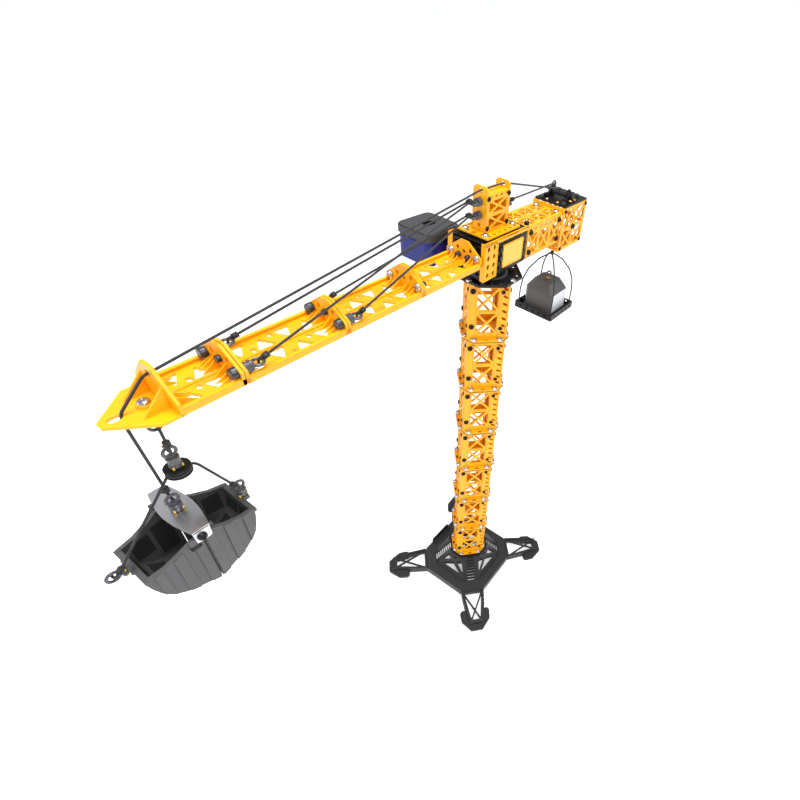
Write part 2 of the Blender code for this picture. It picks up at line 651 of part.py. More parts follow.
# ---- counter-jib, winch, motor, counterweight -----------------------------------------------------
def counter_jib():
    skin = 1.8 * MM
    low, high = COUNTER_LOW, COUNTER_HIGH
    x0, x1 = COUNTER_END, COUNTER_START
    cells = 2
    step = (x1 - x0) / cells
    deck_holes = []
    for index in range(cells):
        a, b = x0 + index * step + 0.8 * MM, x0 + (index + 1) * step - 0.8 * MM
        for sign in (1, -1):
            y0, y1 = sorted((sign * 0.9 * MM, sign * (COUNTER_HALF - 2.6 * MM)))
            deck_holes += cross_braces(rectangle(a, y0, b, y1), 2 * MM)
    deck = rectangle(x0, -COUNTER_HALF, x1, COUNTER_HALF)
    round_holes = [octagon_at(x0 + (index + 0.5) * step, 0, 10 * MM, 6 * MM) for index in range(cells)]
    solids = [plate(deck, deck_holes, high - skin, high), plate(deck, round_holes, low, low + skin)]
    side_holes = []
    for index in range(cells):
        a, b = x0 + index * step + 0.8 * MM, x0 + (index + 1) * step - 0.8 * MM
        side_holes += cross_braces(rectangle(a, low + 2.6 * MM, b, high - 2.6 * MM), 2.4 * MM)
    side = rectangle(x0, low + 0.2 * MM, x1, high - 0.2 * MM)
    solids.append(plate(side, side_holes, 0, skin, upright(y=COUNTER_HALF - 0.02 * MM)))
    solids.append(plate(side, side_holes, 0, skin, upright(y=-COUNTER_HALF + skin + 0.02 * MM)))
    rear = rectangle(-COUNTER_HALF + 0.5 * MM, low + 0.5 * MM, COUNTER_HALF - 0.5 * MM, high - 0.5 * MM)
    hole = [octagon_at(0, (low + high) / 2, 14 * MM, 9 * MM)]
    solids.append(plate(rear, hole, 0, skin, upright(x=COUNTER_START - skin, turn=ACROSS)))
    part("counter_jib", "yellow_plastic", solids, [block((-200 * MM, -50 * MM, 0), (BOX_NEAR_X - GAP, 50 * MM, 1))])


def octagon_at(x, y, half, edge):
    return [(x + u, y + v) for u, v in octagon(half, edge)]


def counter_box():
    skin = 1.8 * MM
    x0, x1 = BOX_FAR_X, BOX_NEAR_X - 2 * GAP
    low, high = BOX_LOW, BOX_HIGH
    holes = cross_braces(rectangle(x0 + 2.6 * MM, low + 2.6 * MM, x1 - 2.6 * MM, high - 2.6 * MM), 3 * MM)
    side = rectangle(x0, low, x1, high)
    solids = [
        plate(side, holes, 0, skin, upright(y=BOX_HALF)),
        plate(side, holes, 0, skin, upright(y=-BOX_HALF + skin)),
    ]
    end_holes = cross_braces(rectangle(-BOX_HALF + 3 * MM, low + 3 * MM, BOX_HALF - 3 * MM, high - 3 * MM), 3 * MM)
    end = rectangle(-BOX_HALF + 0.5 * MM, low + 0.1 * MM, BOX_HALF - 0.5 * MM, high - 0.1 * MM)
    solids.append(plate(end, end_holes, 0, skin, upright(x=x0 + 0.1 * MM, turn=ACROSS)))
    floor = rectangle(x0 + 0.5 * MM, -BOX_HALF + 0.6 * MM, x1 - 0.2 * MM, BOX_HALF - 0.6 * MM)
    grid = hole_grid(x0 + 10 * MM, x1 - 10 * MM, 4, -14 * MM, 14 * MM, 3, 2.4 * MM, 6)
    grid = [hole for hole in grid if abs(hole[0][0] - WEIGHT_X) > 6 * MM or abs(hole[0][1]) > 5 * MM]
    solids.append(plate(floor, grid, low + 0.2 * MM, low + skin))
    beam = rectangle(-BOX_HALF + 0.6 * MM, high - 5 * MM, BOX_HALF - 0.6 * MM, high - 0.3 * MM)
    solids.append(plate(beam, [], 0, skin, upright(x=x1 - skin - 0.3 * MM, turn=ACROSS)))
    solids.append(cylinder((WEIGHT_X, 0, BOX_LOW - 2.4 * MM), (WEIGHT_X, 0, BOX_LOW + 1 * MM), EYE_BODY, 12))
    solids.append(ring((WEIGHT_X, 0, WEIGHT_EYE_Z), (0, 1, 0), EYE_RING - EYE_WIRE, EYE_WIRE))
    part("counter_box", "yellow_plastic", solids)


def winch():
    low = BOX_HIGH + GAP
    deck = rectangle(BOX_FAR_X + 0.5 * MM, -BOX_HALF + 0.5 * MM, BOX_NEAR_X - 3.5 * MM, BOX_HALF - 0.5 * MM)
    holes = hole_grid(BOX_FAR_X + 8 * MM, BOX_NEAR_X - 5 * MM, 2, 8 * MM, 19 * MM, 2, 2.2 * MM, 6)
    solids = [plate(deck, holes, low, low + 2 * MM)]
    axle_z, axle_x = low + 9.5 * MM, -150 * MM
    for sign in (1, -1):
        y0, y1 = sorted((sign * 13 * MM, sign * 15.5 * MM))
        cheek = [(-7 * MM, 0), (7 * MM, 0), (4 * MM, 12.6 * MM), (-4 * MM, 12.6 * MM)]
        stand = upright(x=axle_x, y=y1, z=low + 1 * MM)
        solids.append(plate(cheek, [disc(0, axle_z - low - 1 * MM, 2.4 * MM, 10)], 0, y1 - y0, stand))
    part("winch_plate", "black_plastic", solids)
    drum = [cylinder((axle_x, -12.5 * MM, axle_z), (axle_x, 12.5 * MM, axle_z), 3.4 * MM, 14)]
    drum.append(cylinder((axle_x, -20 * MM, axle_z), (axle_x, 20 * MM, axle_z), 2 * MM, 10))
    for y in (-12.6 * MM, 10.8 * MM):
        drum.append(cylinder((axle_x, y, axle_z), (axle_x, y + 1.8 * MM, axle_z), 6.6 * MM, 14))
    knob = cylinder((axle_x, 16 * MM, axle_z), (axle_x, 20 * MM, axle_z), 5 * MM, 10)
    part("winch_drum", "black_plastic", [*drum, knob], origin=(axle_x, 0, axle_z))


def motor():
    (x0, y0, z0), (x1, y1, z1) = MOTOR_LOW, MOTOR_HIGH
    split = z1 - 9 * MM
    body = block((x0 + 1.5 * MM, y0 + 1.5 * MM, z0), (x1 - 1.5 * MM, y1 - 1.5 * MM, split - GAP))
    part("motor_body", "blue_plastic", [body])
    lid = block((x0, y0, split), (x1, y1, z1))
    middle = ((x0 + x1) / 2, (y0 + y1) / 2)
    well = block((middle[0] - 6 * MM, middle[1] - 3.5 * MM, z1 - 3.4 * MM), (middle[0] + 6 * MM, middle[1] + 3.5 * MM, z1 + 5 * MM))
    part("motor_lid", "grey_plastic", [lid], [well])
    knob = block((middle[0] - 3.8 * MM, middle[1] - 2.4 * MM, z1 - 3.4 * MM + GAP), (middle[0] + 0.2 * MM, middle[1] + 2.4 * MM, z1 - 0.4 * MM))
    part("motor_switch", "black_plastic", [knob], origin=(middle[0] - 1.8 * MM, middle[1], z1 - 2 * MM))


def counterweight():
    x, z = WEIGHT_X, TRAY_Z
    rim = octagon_at(x, 0, TRAY_HALF, TRAY_HALF - 1.5 * MM)
    tray_solids = [plate(rim, [], z, z + 2 * MM)]
    side = rectangle(-TRAY_HALF + 1 * MM, z, TRAY_HALF - 1 * MM, z + 9 * MM)
    for turn in range(4):
        spin = Matrix.Translation((x, 0, 0)) @ Matrix.Rotation(turn * math.pi / 2, 4, "Z") @ Matrix.Translation((-x, 0, 0))
        row = hole_grid(-18 * MM, 18 * MM, 2, z + 5.4 * MM, z + 5.4 * MM, 1, 1.7 * MM, 6)
        wall = plate(side, row, 0, 1.6 * MM, spin @ upright(x=x, y=-TRAY_HALF + 1.7 * MM))
        tray_solids.append(wall)
    part("weight_tray", "black_plastic", tray_solids, origin=(x, 0, WEIGHT_EYE_Z))
    foot, shoulder, top = z + 2 * MM + GAP, z + 34 * MM, z + 47 * MM
    wide, corner = 24.5 * MM, 18.5 * MM
    block_points = [(x + u, v, foot) for u, v in octagon(wide, corner)]
    block_points += [(x + u, v, shoulder) for u, v in octagon(wide, corner)]
    block_points += [(x + u, v, top) for u, v in octagon(15.5 * MM, 11.5 * MM)]
    part("weight_block", "weight_plastic", [hull(block_points)], origin=(x, 0, WEIGHT_EYE_Z))
    collar = cylinder((x, 0, top + GAP), (x, 0, top + 3.2 * MM), 4.2 * MM, 12)
    loop = ring((x, 0, top + 3 * MM + 4.2 * MM), (0.5, 1, 0), 4.1 * MM, 1.2 * MM)
    part("weight_ring", "grey_plastic", [collar, loop], origin=(x, 0, WEIGHT_EYE_Z))
    eye, knot = WEIGHT_EYE_Z, WEIGHT_EYE_Z - 10.4 * MM
    solids = [cylinder((x, 0, knot - 2 * MM), (x, 0, knot + 2 * MM), 2 * MM, 8)]
    solids.append(tube([(x, 0, knot), *hook((x, 0, eye), (0, 0, -1), (0, 1, 0))], 2 * MM))
    for u, v in ((1, 1), (1, -1), (-1, -1), (-1, 1)):
        arm = [(x + u * 28.2 * MM, v * 28.2 * MM, z + 2 * MM + GAP), (x + u * 28 * MM, v * 28 * MM, z + 30 * MM)]
        for out, up in ((26.6, 46), (22, 62), (12, 78)):
            arm.append((x + u * out * MM, v * out * MM, z + up * MM))
        solids.append(tube([*arm, (x + u * 0.3 * MM, v * 0.3 * MM, knot)], 2 * MM))
    part("weight_cords", "rope_cord", solids, origin=(x, 0, eye))


# ---- bucket -------------------------------------------------------------------------------------
def scoop(side, sign, inset_y):
    """A closed solid: an outline in the XZ plane, spread sideways less at the lip than at the pivot."""
    bm = bmesh.new()
    loops = []
    for way in (1, -1):
        loop = []
        for u, v in side:
            reach = PIVOT_HALF + (LIP_HALF - PIVOT_HALF) * max(0.0, u) / LIP_REACH - inset_y
            loop.append(bm.verts.new((BUCKET_X + sign * u, way * reach, BUCKET_PIVOT_Z + v)))
        loops.append(loop)
    bm.faces.new(loops[0])
    bm.faces.new(list(reversed(loops[1])))
    for index in range(len(side)):
        after = (index + 1) % len(side)
        bm.faces.new([loops[0][index], loops[1][index], loops[1][after], loops[0][after]])
    return tool_from(bm)


def bucket_jaw(name, sign, ear):
    """One jaw: a scoop open at the top and at the seam, under a rim that dips from the pivot to the lip."""
    x, z, reach, seam = BUCKET_X, BUCKET_PIVOT_Z, LIP_REACH, 0.35 * MM
    outer = [(seam, -4 * MM), (7 * MM, -5 * MM), (17 * MM, -11 * MM), (28 * MM, -16 * MM), (reach, -18 * MM)]
    outer += [(reach - 1 * MM, -28 * MM), (34 * MM, -43 * MM), (22 * MM, -54 * MM), (seam, -BUCKET_DEPTH)]
    inner = [(-1 * MM, 6 * MM), (reach - 2 * MM, 6 * MM), (reach - 2 * MM, -19 * MM)]
    inner += [(reach - 3 * MM, -28 * MM), (32.4 * MM, -41.8 * MM), (21 * MM, -51.9 * MM), (-1 * MM, -BUCKET_DEPTH + 2 * MM)]
    solids = [scoop(outer, sign, 0)]
    cavity = scoop(inner, sign, BUCKET_WALL)
    body = combine(solids[0], [cavity], "DIFFERENCE")
    pieces = [body]
    near, far = ear
    for way in (1, -1):
        pieces.append(cylinder((x, way * near, z), (x, way * far, z), 5 * MM, 14))
        y0, y1 = sorted((way * near, way * far))
        x0, x1 = sorted((x + sign * 1 * MM, x + sign * 10 * MM))
        pieces.append(block((x0, y0, z - 12 * MM), (x1, y1, z - 0.5 * MM)))
        y0, y1 = sorted((way * min(near, PIVOT_HALF - 1.8 * MM), way * max(far, PIVOT_HALF - 1 * MM)))
        x0, x1 = sorted((x + sign * 3 * MM, x + sign * 10 * MM))
        pieces.append(block((x0, y0, z - 12 * MM), (x1, y1, z - 7.5 * MM)))
    rim_x = sorted((x + sign * (reach - 2.5 * MM), x + sign * (reach + 1.6 * MM)))
    pieces.append(block((rim_x[0], -LIP_HALF - 1 * MM, z - 21 * MM), (rim_x[1], LIP_HALF + 1 * MM, z - 18.2 * MM)))
    tab_x = sorted((x + sign * (reach - 1 * MM), x + sign * (reach + (6 if sign < 0 else 2.6) * MM)))
    pieces.append(block((tab_x[0], -5 * MM, z - 22 * MM), (tab_x[1], 5 * MM, z - (18 if sign < 0 else 12.5) * MM)))
    bores = [cylinder((x, way * 10 * MM, z), (x, way * 40 * MM, z), 2.3 * MM, 10) for way in (1, -1)]
    part(name, "bucket_plastic", pieces, bores, origin=(x, 0, z))


def saddle():
    """The bent metal plate over the bucket, with the pivot pins on its folded ends."""
    x, z, half = BUCKET_X, BUCKET_PIVOT_Z, SADDLE_HALF
    outline = [(-6 * MM, -half), (6 * MM, -half), (9 * MM, -half / 2), (10.5 * MM, 0), (9 * MM, half / 2), (6 * MM, half)]
    outline += [(-6 * MM, half), (-9 * MM, half / 2), (-10.5 * MM, 0), (-9 * MM, -half / 2)]
    solids = [prism([(x + u, v) for u, v in outline], z + 6 * MM, z + 7.5 * MM)]
    for way in (1, -1):
        y0, y1 = sorted((way * half, way * (half - 1.5 * MM)))
        solids.append(block((x - 6 * MM, y0, z - 5 * MM), (x + 6 * MM, y1, z + 7 * MM)))
        solids.append(cylinder((x, way * 19 * MM, z), (x, way * (half - 0.5 * MM), z), 2 * MM, 10))
    part("bucket_saddle", "saddle_metal", solids, origin=(x, 0, z))


def pulley():
    x, z = PULLEY_X, PULLEY_Z
    solids = [
        cylinder((x, 0, z - 3.2 * MM), (x, 0, z - 1.8 * MM), PULLEY_RADIUS, 16),
        cylinder((x, 0, z + 1.8 * MM), (x, 0, z + 3.2 * MM), PULLEY_RADIUS, 16),
        cylinder((x, 0, z - 3 * MM), (x, 0, z + 3 * MM), 6.6 * MM, 12),
    ]
    part("bucket_pulley", "black_plastic", solids, origin=(x, 0, z))


def hook(centre, away, up, lateral=(0, 0, 0)):
    """Where a rope passes over a ring and down through its hole, from the side that it comes from."""
    centre, away, up = Vector(centre) + Vector(lateral), Vector(away), Vector(up)
    return [
        centre + away * 7.5 * MM + up * 2.9 * MM,
        centre + away * 1.4 * MM + up * 2.9 * MM,
        centre + away * 0.4 * MM + up * 1.2 * MM,
        centre + away * 0.2 * MM - up * 2.6 * MM,
    ]


def bucket_ropes(eyes):
    x, z = PULLEY_X, PULLEY_Z
    rope("rope_hanger", hook(eyes["nose"], (0, 0, -1), (0, 1, 0))[::-1] + hook(eyes["pulley"], (0, 0, 1), (0, 1, 0)))
    start = Vector((NOSE_HOLE_X - 2.9 * MM, 0, JIB_FLOOR - 9.3 * MM))
    rope("rope_drop", [start, *hook(eyes["middle"], (0, 0, 1), (0, -1, 0))])
    path = []
    for step in range(7):
        angle = math.pi - math.pi * (step + 0.5) / 7
        path.append((x + 7.9 * MM * math.cos(angle), 7.9 * MM * math.sin(angle), z))
    entry = (x - 10.8 * MM, 3 * MM, z - 1.2 * MM)
    leave = (x + 10.8 * MM, 3 * MM, z - 1.2 * MM)
    back = hook(eyes["back"], (0.55, 0, 0.84), (0, 1, 0))
    front = hook(eyes["front"], (-0.7, 0, 0.71), (0, 1, 0))
    rope("rope_spreader", [*back[::-1], entry, *path, leave, *front])


def ties(eyes):
    for name, at, eye in (("outer", 3, "mast_upper"), ("inner", 2, "mast_lower")):
        for side, sign in (("near", 1), ("far", -1)):
            ring_at = Vector(eyes[f"jib_{name}_{side}"])
            shift = Vector((0, sign * 1.3 * MM, 0))
            top = hook(eyes[eye], (1, 0, 0), (0, 0, 1), shift)
            foot = hook(ring_at, (-1, 0, 0), (0, 0, 1))
            rope(f"tie_{name}_{side}", [*top[::-1], *foot])


def running_ropes(eyes):
    drum_z = BOX_HIGH + GAP + 9.5 * MM
    path = [(-149 * MM, 0, drum_z + 4.8 * MM), (-146 * MM, 0, drum_z + 4.8 * MM), (MAST_BACK - 1 * MM, 0, MAST_HOLE_Z)]
    path += [(MAST_FRONT + 1 * MM, 0, MAST_HOLE_Z), (NOSE_GABLE - 4 * MM, 0, JIB_FLOOR + 21 * MM)]
    path += [(NOSE_GABLE + 3 * MM, 0, JIB_FLOOR + 20.2 * MM), (NOSE_HOLE_X - 3.6 * MM, 0, JIB_FLOOR + 1.5 * MM)]
    path += [(NOSE_HOLE_X - 2.8 * MM, 0, JIB_FLOOR - 9 * MM)]
    rope("rope_hoist", path)
    top = hook(eyes["mast_back"], (-1, 0, 0), (0, 0, 1))
    foot = hook(eyes["winch"], (0.92, 0, 0.38), (0, 1, 0))
    rope("rope_back", [*top[::-1], *foot])


def eyes_of_the_crane():
    rim = JIB_FLOOR + 7 * MM
    outer_x, inner_x = JIB_START + 3 * JIB_PITCH - 2.2 * MM, JIB_START + 2 * JIB_PITCH - 2.2 * MM
    eyes = {
        "mast_upper": eyebolt("mast_eye_upper", (MAST_FRONT, 0, 703 * MM), (1, 0, 0), (0, 0, 1), 6 * MM),
        "mast_lower": eyebolt("mast_eye_lower", (MAST_FRONT, 0, 689 * MM), (1, 0, 0), (0, 0, 1), 6 * MM),
        "mast_back": eyebolt("mast_eye_back", (MAST_BACK, 0, 690 * MM), (-1, 0, 0), (0, 0, 1), 6 * MM),
        "nose": eyebolt("nose_eye", (NOSE_EYE_X, 0, JIB_FLOOR - 2 * MM), (0, 0, -1), (0, 1, 0), 10.5 * MM),
        "winch": eyebolt("winch_eye", (-166.5 * MM, -20.6 * MM, BOX_HIGH + 2 * MM + GAP), (0, 0, 1), (0, 1, 0), 4 * MM),
        "middle": eyebolt("bucket_eye_middle", (BUCKET_X, 0, BUCKET_PIVOT_Z + 7.5 * MM), (0, 0, 1), (0, 1, 0), 6.5 * MM),
        "pulley": eyebolt("pulley_eye", (PULLEY_X, 0, PULLEY_Z + 3.2 * MM), (0, 0, 1), (0, 1, 0), 10 * MM),
    }
    lip_x, lip_z = LIP_REACH, BUCKET_PIVOT_Z - 18 * MM
    front_base = (BUCKET_X + lip_x + 2.6 * MM, 0, lip_z + 0.6 * MM)
    back_base = (BUCKET_X - lip_x - 3 * MM, 0, lip_z)
    eyes["front"] = eyebolt("bucket_eye_front", front_base, (1, 0, 0), (0, 1, 0), 3.5 * MM)
    eyes["back"] = eyebolt("bucket_eye_back", back_base, (0, 0, 1), (0, 1, 0), 7 * MM)
    for name, x in (("outer", outer_x), ("inner", inner_x)):
        for side, sign in (("near", 1), ("far", -1)):
            base = (x - 0.2 * MM, sign * 17.5 * MM, rim)
            eyes[f"jib_{name}_{side}"] = eyebolt(f"jib_eye_{name}_{side}", base, (-1, 0, 0), (0, 0, 1), 6 * MM)
    return eyes


base_frame()
for index in range(4):
    leg(index + 1)
tower()
turntable()
cab()
mast()
for index in range(4):
    jib_segment(index + 1)
counter_jib()
counter_box()
winch()
motor()
counterweight()
bucket_jaw("bucket_jaw_front", 1, (24.4 * MM, 26.4 * MM))
bucket_jaw("bucket_jaw_back", -1, (19.6 * MM, 21.6 * MM))
saddle()
pulley()
EYES = eyes_of_the_crane()
bucket_ropes(EYES)
ties(EYES)
running_ropes(EYES)
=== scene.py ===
"""The looks of a toy tower crane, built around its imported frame.

Shapes are made in millimetres and scaled once in piece(); +Z is up, +X runs along the jib.
"""

import math

import bmesh
import bpy
from mathutils import Matrix, Vector


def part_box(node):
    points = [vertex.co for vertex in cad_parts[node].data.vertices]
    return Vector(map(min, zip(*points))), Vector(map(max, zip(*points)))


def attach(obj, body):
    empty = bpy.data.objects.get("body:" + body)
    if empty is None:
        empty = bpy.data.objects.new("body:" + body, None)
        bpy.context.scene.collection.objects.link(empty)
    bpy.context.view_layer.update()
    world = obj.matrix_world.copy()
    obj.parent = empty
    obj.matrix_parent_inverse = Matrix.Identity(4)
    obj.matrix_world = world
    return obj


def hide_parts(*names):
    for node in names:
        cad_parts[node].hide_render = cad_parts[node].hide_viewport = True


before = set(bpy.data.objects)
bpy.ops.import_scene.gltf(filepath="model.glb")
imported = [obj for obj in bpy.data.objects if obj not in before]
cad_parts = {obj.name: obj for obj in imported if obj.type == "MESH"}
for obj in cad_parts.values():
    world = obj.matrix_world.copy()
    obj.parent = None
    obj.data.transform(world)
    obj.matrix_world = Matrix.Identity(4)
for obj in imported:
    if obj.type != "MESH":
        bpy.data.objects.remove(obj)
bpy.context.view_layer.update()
MM = 0.001


def corners(node):
    low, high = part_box(node)
    return low / MM, high / MM


# ---- places, in millimetres, read from the frame where it holds them ------------------------------
TOWER_TURN = math.radians(136.3)
SECTIONS = [f"tower_section_{number}" for number in range(1, 8)]
FOOT_Z = corners("tower_section_1")[0].z
TOWER_TOP = corners("turntable_lower")[0].z
SECTION = (TOWER_TOP - FOOT_Z) / len(SECTIONS)
CAB_FLOOR = TOWER_TOP + 10.5
CAB_TOP = corners("cab_angle_near")[1].z
CAB_X = 40.0
CAB_Y = 23.2
JIB_START = 44.0
JIB_PITCH = 87.0
JIB_FLOOR = TOWER_TOP + 29.5
JIB_HALF = 23.0
NOSE_GABLE = JIB_START + 3 * JIB_PITCH + 44
NOSE_TIP = JIB_START + 3 * JIB_PITCH + 78
NOSE_EYE_X = 357.5
NOSE_HOLE_X = 374.5
MAST_BACK, MAST_FRONT, MAST_Y = -18.0, 22.3, 9.3
MAST_TOP = corners("mast")[1].z
BOX_FAR_X, BOX_NEAR_X, BOX_HALF = -184.5, -122.0, 24.0
BOX_LOW, BOX_HIGH = TOWER_TOP - 4, TOWER_TOP + 53.5
COUNTER_START, COUNTER_HALF = -45.0, 21.5
COUNTER_LOW, COUNTER_HIGH = TOWER_TOP + 9.8, TOWER_TOP + 49.5
WEIGHT_X, TRAY_Z, TRAY_HALF = -153.0, 507.5, 32.4
WEIGHT_EYE_Z = BOX_LOW - 7
BUCKET_X, PIVOT_Z = 369.0, 543.0
PULLEY_Z = 584.5


# ---- materials ----------------------------------------------------------------------------------
def shader_of(name):
    material = bpy.data.materials.new(name)
    material.use_nodes = True
    tree = material.node_tree
    return material, tree, tree.nodes["Principled BSDF"]


def add_node(tree, kind, **values):
    node = tree.nodes.new(kind)
    for key, value in values.items():
        if key in node.inputs:
            node.inputs[key].default_value = value
        else:
            setattr(node, key, value)
    return node


def moulded(
    name, colour, roughness, edge=0.35, grain=0.12, drift=0.06, glow=0.0, coat=0.0, metal=0.0, shine=0.5
):
    """Moulded plastic or metal: soft edges, a fine grain, a slow drift of colour, and smudges in the gloss."""
    material, tree, shader = shader_of(name)
    link = tree.links.new
    place = add_node(tree, "ShaderNodeTexCoord")
    slow = add_node(tree, "ShaderNodeTexNoise", Scale=28.0, Detail=3.0)
    fine = add_node(tree, "ShaderNodeTexNoise", Scale=900.0, Detail=4.0)
    smudge = add_node(tree, "ShaderNodeTexNoise", Scale=110.0, Detail=5.0)
    for texture in (slow, fine, smudge):
        link(place.outputs["Object"], texture.inputs["Vector"])
    ramp = add_node(tree, "ShaderNodeValToRGB")
    dark = [channel * (1 - drift) for channel in colour]
    light = [min(1.0, channel * (1 + drift)) for channel in colour]
    ramp.color_ramp.elements[0].position, ramp.color_ramp.elements[0].color = 0.3, (*dark, 1)
    ramp.color_ramp.elements[1].position, ramp.color_ramp.elements[1].color = 0.7, (*light, 1)
    link(slow.outputs["Fac"], ramp.inputs["Fac"])
    link(ramp.outputs["Color"], shader.inputs["Base Color"])
    gloss = add_node(tree, "ShaderNodeMapRange")
    gloss.inputs["To Min"].default_value = max(0.05, roughness - 0.07)
    gloss.inputs["To Max"].default_value = roughness + 0.09
    link(smudge.outputs["Fac"], gloss.inputs["Value"])
    link(gloss.outputs["Result"], shader.inputs["Roughness"])
    soft = add_node(tree, "ShaderNodeBevel", Radius=edge * MM)
    soft.samples = 4
    bump = add_node(tree, "ShaderNodeBump", Strength=grain, Distance=0.0002)
    link(fine.outputs["Fac"], bump.inputs["Height"])
    link(soft.outputs["Normal"], bump.inputs["Normal"])
    link(bump.outputs["Normal"], shader.inputs["Normal"])
    shader.inputs["Metallic"].default_value = metal
    if glow:
        shader.inputs["Subsurface Weight"].default_value = glow
        shader.inputs["Subsurface Radius"].default_value = (0.004, 0.0018, 0.0003)
        shader.inputs["Subsurface Scale"].default_value = 1.0
    shader.inputs["Coat Weight"].default_value = coat
    shader.inputs["Coat Roughness"].default_value = 0.12
    shader.inputs["Specular IOR Level"].default_value = shine
    return material


def braided(name, colour):
    """Round braided cord: a tight diagonal weave in the surface and a matt, slightly fuzzy sheen."""
    material, tree, shader = shader_of(name)
    link = tree.links.new
    place = add_node(tree, "ShaderNodeTexCoord")
    weave = add_node(tree, "ShaderNodeTexWave", Scale=420.0, Distortion=1.5, Detail=1.0)
    weave.bands_direction = "DIAGONAL"
    fibre = add_node(tree, "ShaderNodeTexNoise", Scale=2500.0, Detail=3.0)
    for texture in (weave, fibre):
        link(place.outputs["Object"], texture.inputs["Vector"])
    tint = add_node(tree, "ShaderNodeValToRGB")
    tint.color_ramp.elements[0].color = (*[c * 0.4 for c in colour], 1)
    tint.color_ramp.elements[1].color = (*[c * 2.2 for c in colour], 1)
    link(weave.outputs["Fac"], tint.inputs["Fac"])
    link(tint.outputs["Color"], shader.inputs["Base Color"])
    height = add_node(tree, "ShaderNodeMath", operation="MULTIPLY_ADD")
    height.inputs[1].default_value = 0.4
    link(fibre.outputs["Fac"], height.inputs[0])
    link(weave.outputs["Fac"], height.inputs[2])
    bump = add_node(tree, "ShaderNodeBump", Strength=0.5, Distance=0.0003)
    link(height.outputs["Value"], bump.inputs["Height"])
    link(bump.outputs["Normal"], shader.inputs["Normal"])
    shader.inputs["Roughness"].default_value = 0.72
    shader.inputs["Sheen Weight"].default_value = 0.15
    return material


YELLOW = moulded("yellow", (0.97, 0.43, 0.002), 0.34, glow=0.12, coat=0.04, shine=0.4)
PANEL = moulded("panel", (1.0, 0.52, 0.010), 0.22, drift=0.02, coat=0.4)
BLACK = moulded("black", (0.007, 0.007, 0.008), 0.36, shine=0.28)
BASE = moulded("base", (0.024, 0.025, 0.027), 0.48, grain=0.3, shine=0.3)
GREY = moulded("grey", (0.070, 0.073, 0.082), 0.28, coat=0.2)
NUT = moulded("nut", (0.022, 0.024, 0.029), 0.3, coat=0.1)
JAW = moulded("jaw", (0.075, 0.076, 0.078), 0.42, grain=0.25, shine=0.4)
BLUE = moulded("blue", (0.003, 0.010, 0.15), 0.32, coat=0.1, shine=0.3)
LID = moulded("lid", (0.042, 0.044, 0.047), 0.45, grain=0.3, shine=0.35)
WEIGHT = moulded("weight", (0.085, 0.087, 0.09), 0.5, grain=0.35, shine=0.35)
STEEL = moulded("steel", (0.55, 0.56, 0.61), 0.2, metal=1.0, grain=0.04)
PLATE = moulded("plate", (0.56, 0.56, 0.58), 0.3, metal=1.0, grain=0.05)
BRASS = moulded("brass", (0.62, 0.36, 0.10), 0.3, metal=1.0, grain=0.05)
LABEL = moulded("label", (0.66, 0.68, 0.71), 0.3, drift=0.02)
MARK = moulded("mark", (0.95, 0.60, 0.03), 0.35)
ROPE = braided("rope", (0.012, 0.012, 0.013))


# ---- shapes -------------------------------------------------------------------------------------
def tool_from(bm, matrix=None):
    if matrix is not None:
        bmesh.ops.transform(bm, matrix=matrix, verts=bm.verts)
    bmesh.ops.recalc_face_normals(bm, faces=bm.faces)
    mesh = bpy.data.meshes.new("shape")
    bm.to_mesh(mesh)
    bm.free()
    obj = bpy.data.objects.new("shape", mesh)
    bpy.context.scene.collection.objects.link(obj)
    return obj


def block(low, high, matrix=None):
    bm = bmesh.new()
    bmesh.ops.create_cube(bm, size=1.0)
    low, high = Vector(low), Vector(high)
    bmesh.ops.scale(bm, vec=high - low, verts=bm.verts)
    bmesh.ops.translate(bm, vec=(low + high) / 2, verts=bm.verts)
    return tool_from(bm, matrix)


def turned(profile, base, axis, steps=16):
    """A closed solid of revolution: (radius, height) pairs above base, along axis."""
    bm = bmesh.new()
    verts = [bm.verts.new((radius, 0, height)) for radius, height in profile]
    edges = [bm.edges.new(pair) for pair in zip(verts, verts[1:])]
    bmesh.ops.spin(
        bm, geom=verts + edges, cent=(0, 0, 0), axis=(0, 0, 1), angle=math.tau, steps=steps, use_merge=True
    )
    bmesh.ops.remove_doubles(bm, verts=bm.verts, dist=0.001)
    bmesh.ops.holes_fill(bm, edges=[edge for edge in bm.edges if edge.is_boundary], sides=0)
    turn = Vector(axis).to_track_quat("Z", "Y").to_matrix().to_4x4()
    return tool_from(bm, Matrix.Translation(base) @ turn)


def prism(outline, low, high, matrix=None):
    bm = bmesh.new()
    face = bm.faces.new([bm.verts.new((x, y, low)) for x, y in outline])
    pulled = bmesh.ops.extrude_face_region(bm, geom=[face])["geom"]
    moved = [item for item in pulled if isinstance(item, bmesh.types.BMVert)]
    bmesh.ops.translate(bm, vec=(0, 0, high - low), verts=moved)
    return tool_from(bm, matrix)


def hull(points):
    bm = bmesh.new()
    for point in points:
        bm.verts.new(point)
    result = bmesh.ops.convex_hull(bm, input=bm.verts)
    loose = [item for item in result["geom_interior"] if isinstance(item, bmesh.types.BMVert)]
    bmesh.ops.delete(bm, geom=loose, context="VERTS")
    return tool_from(bm)


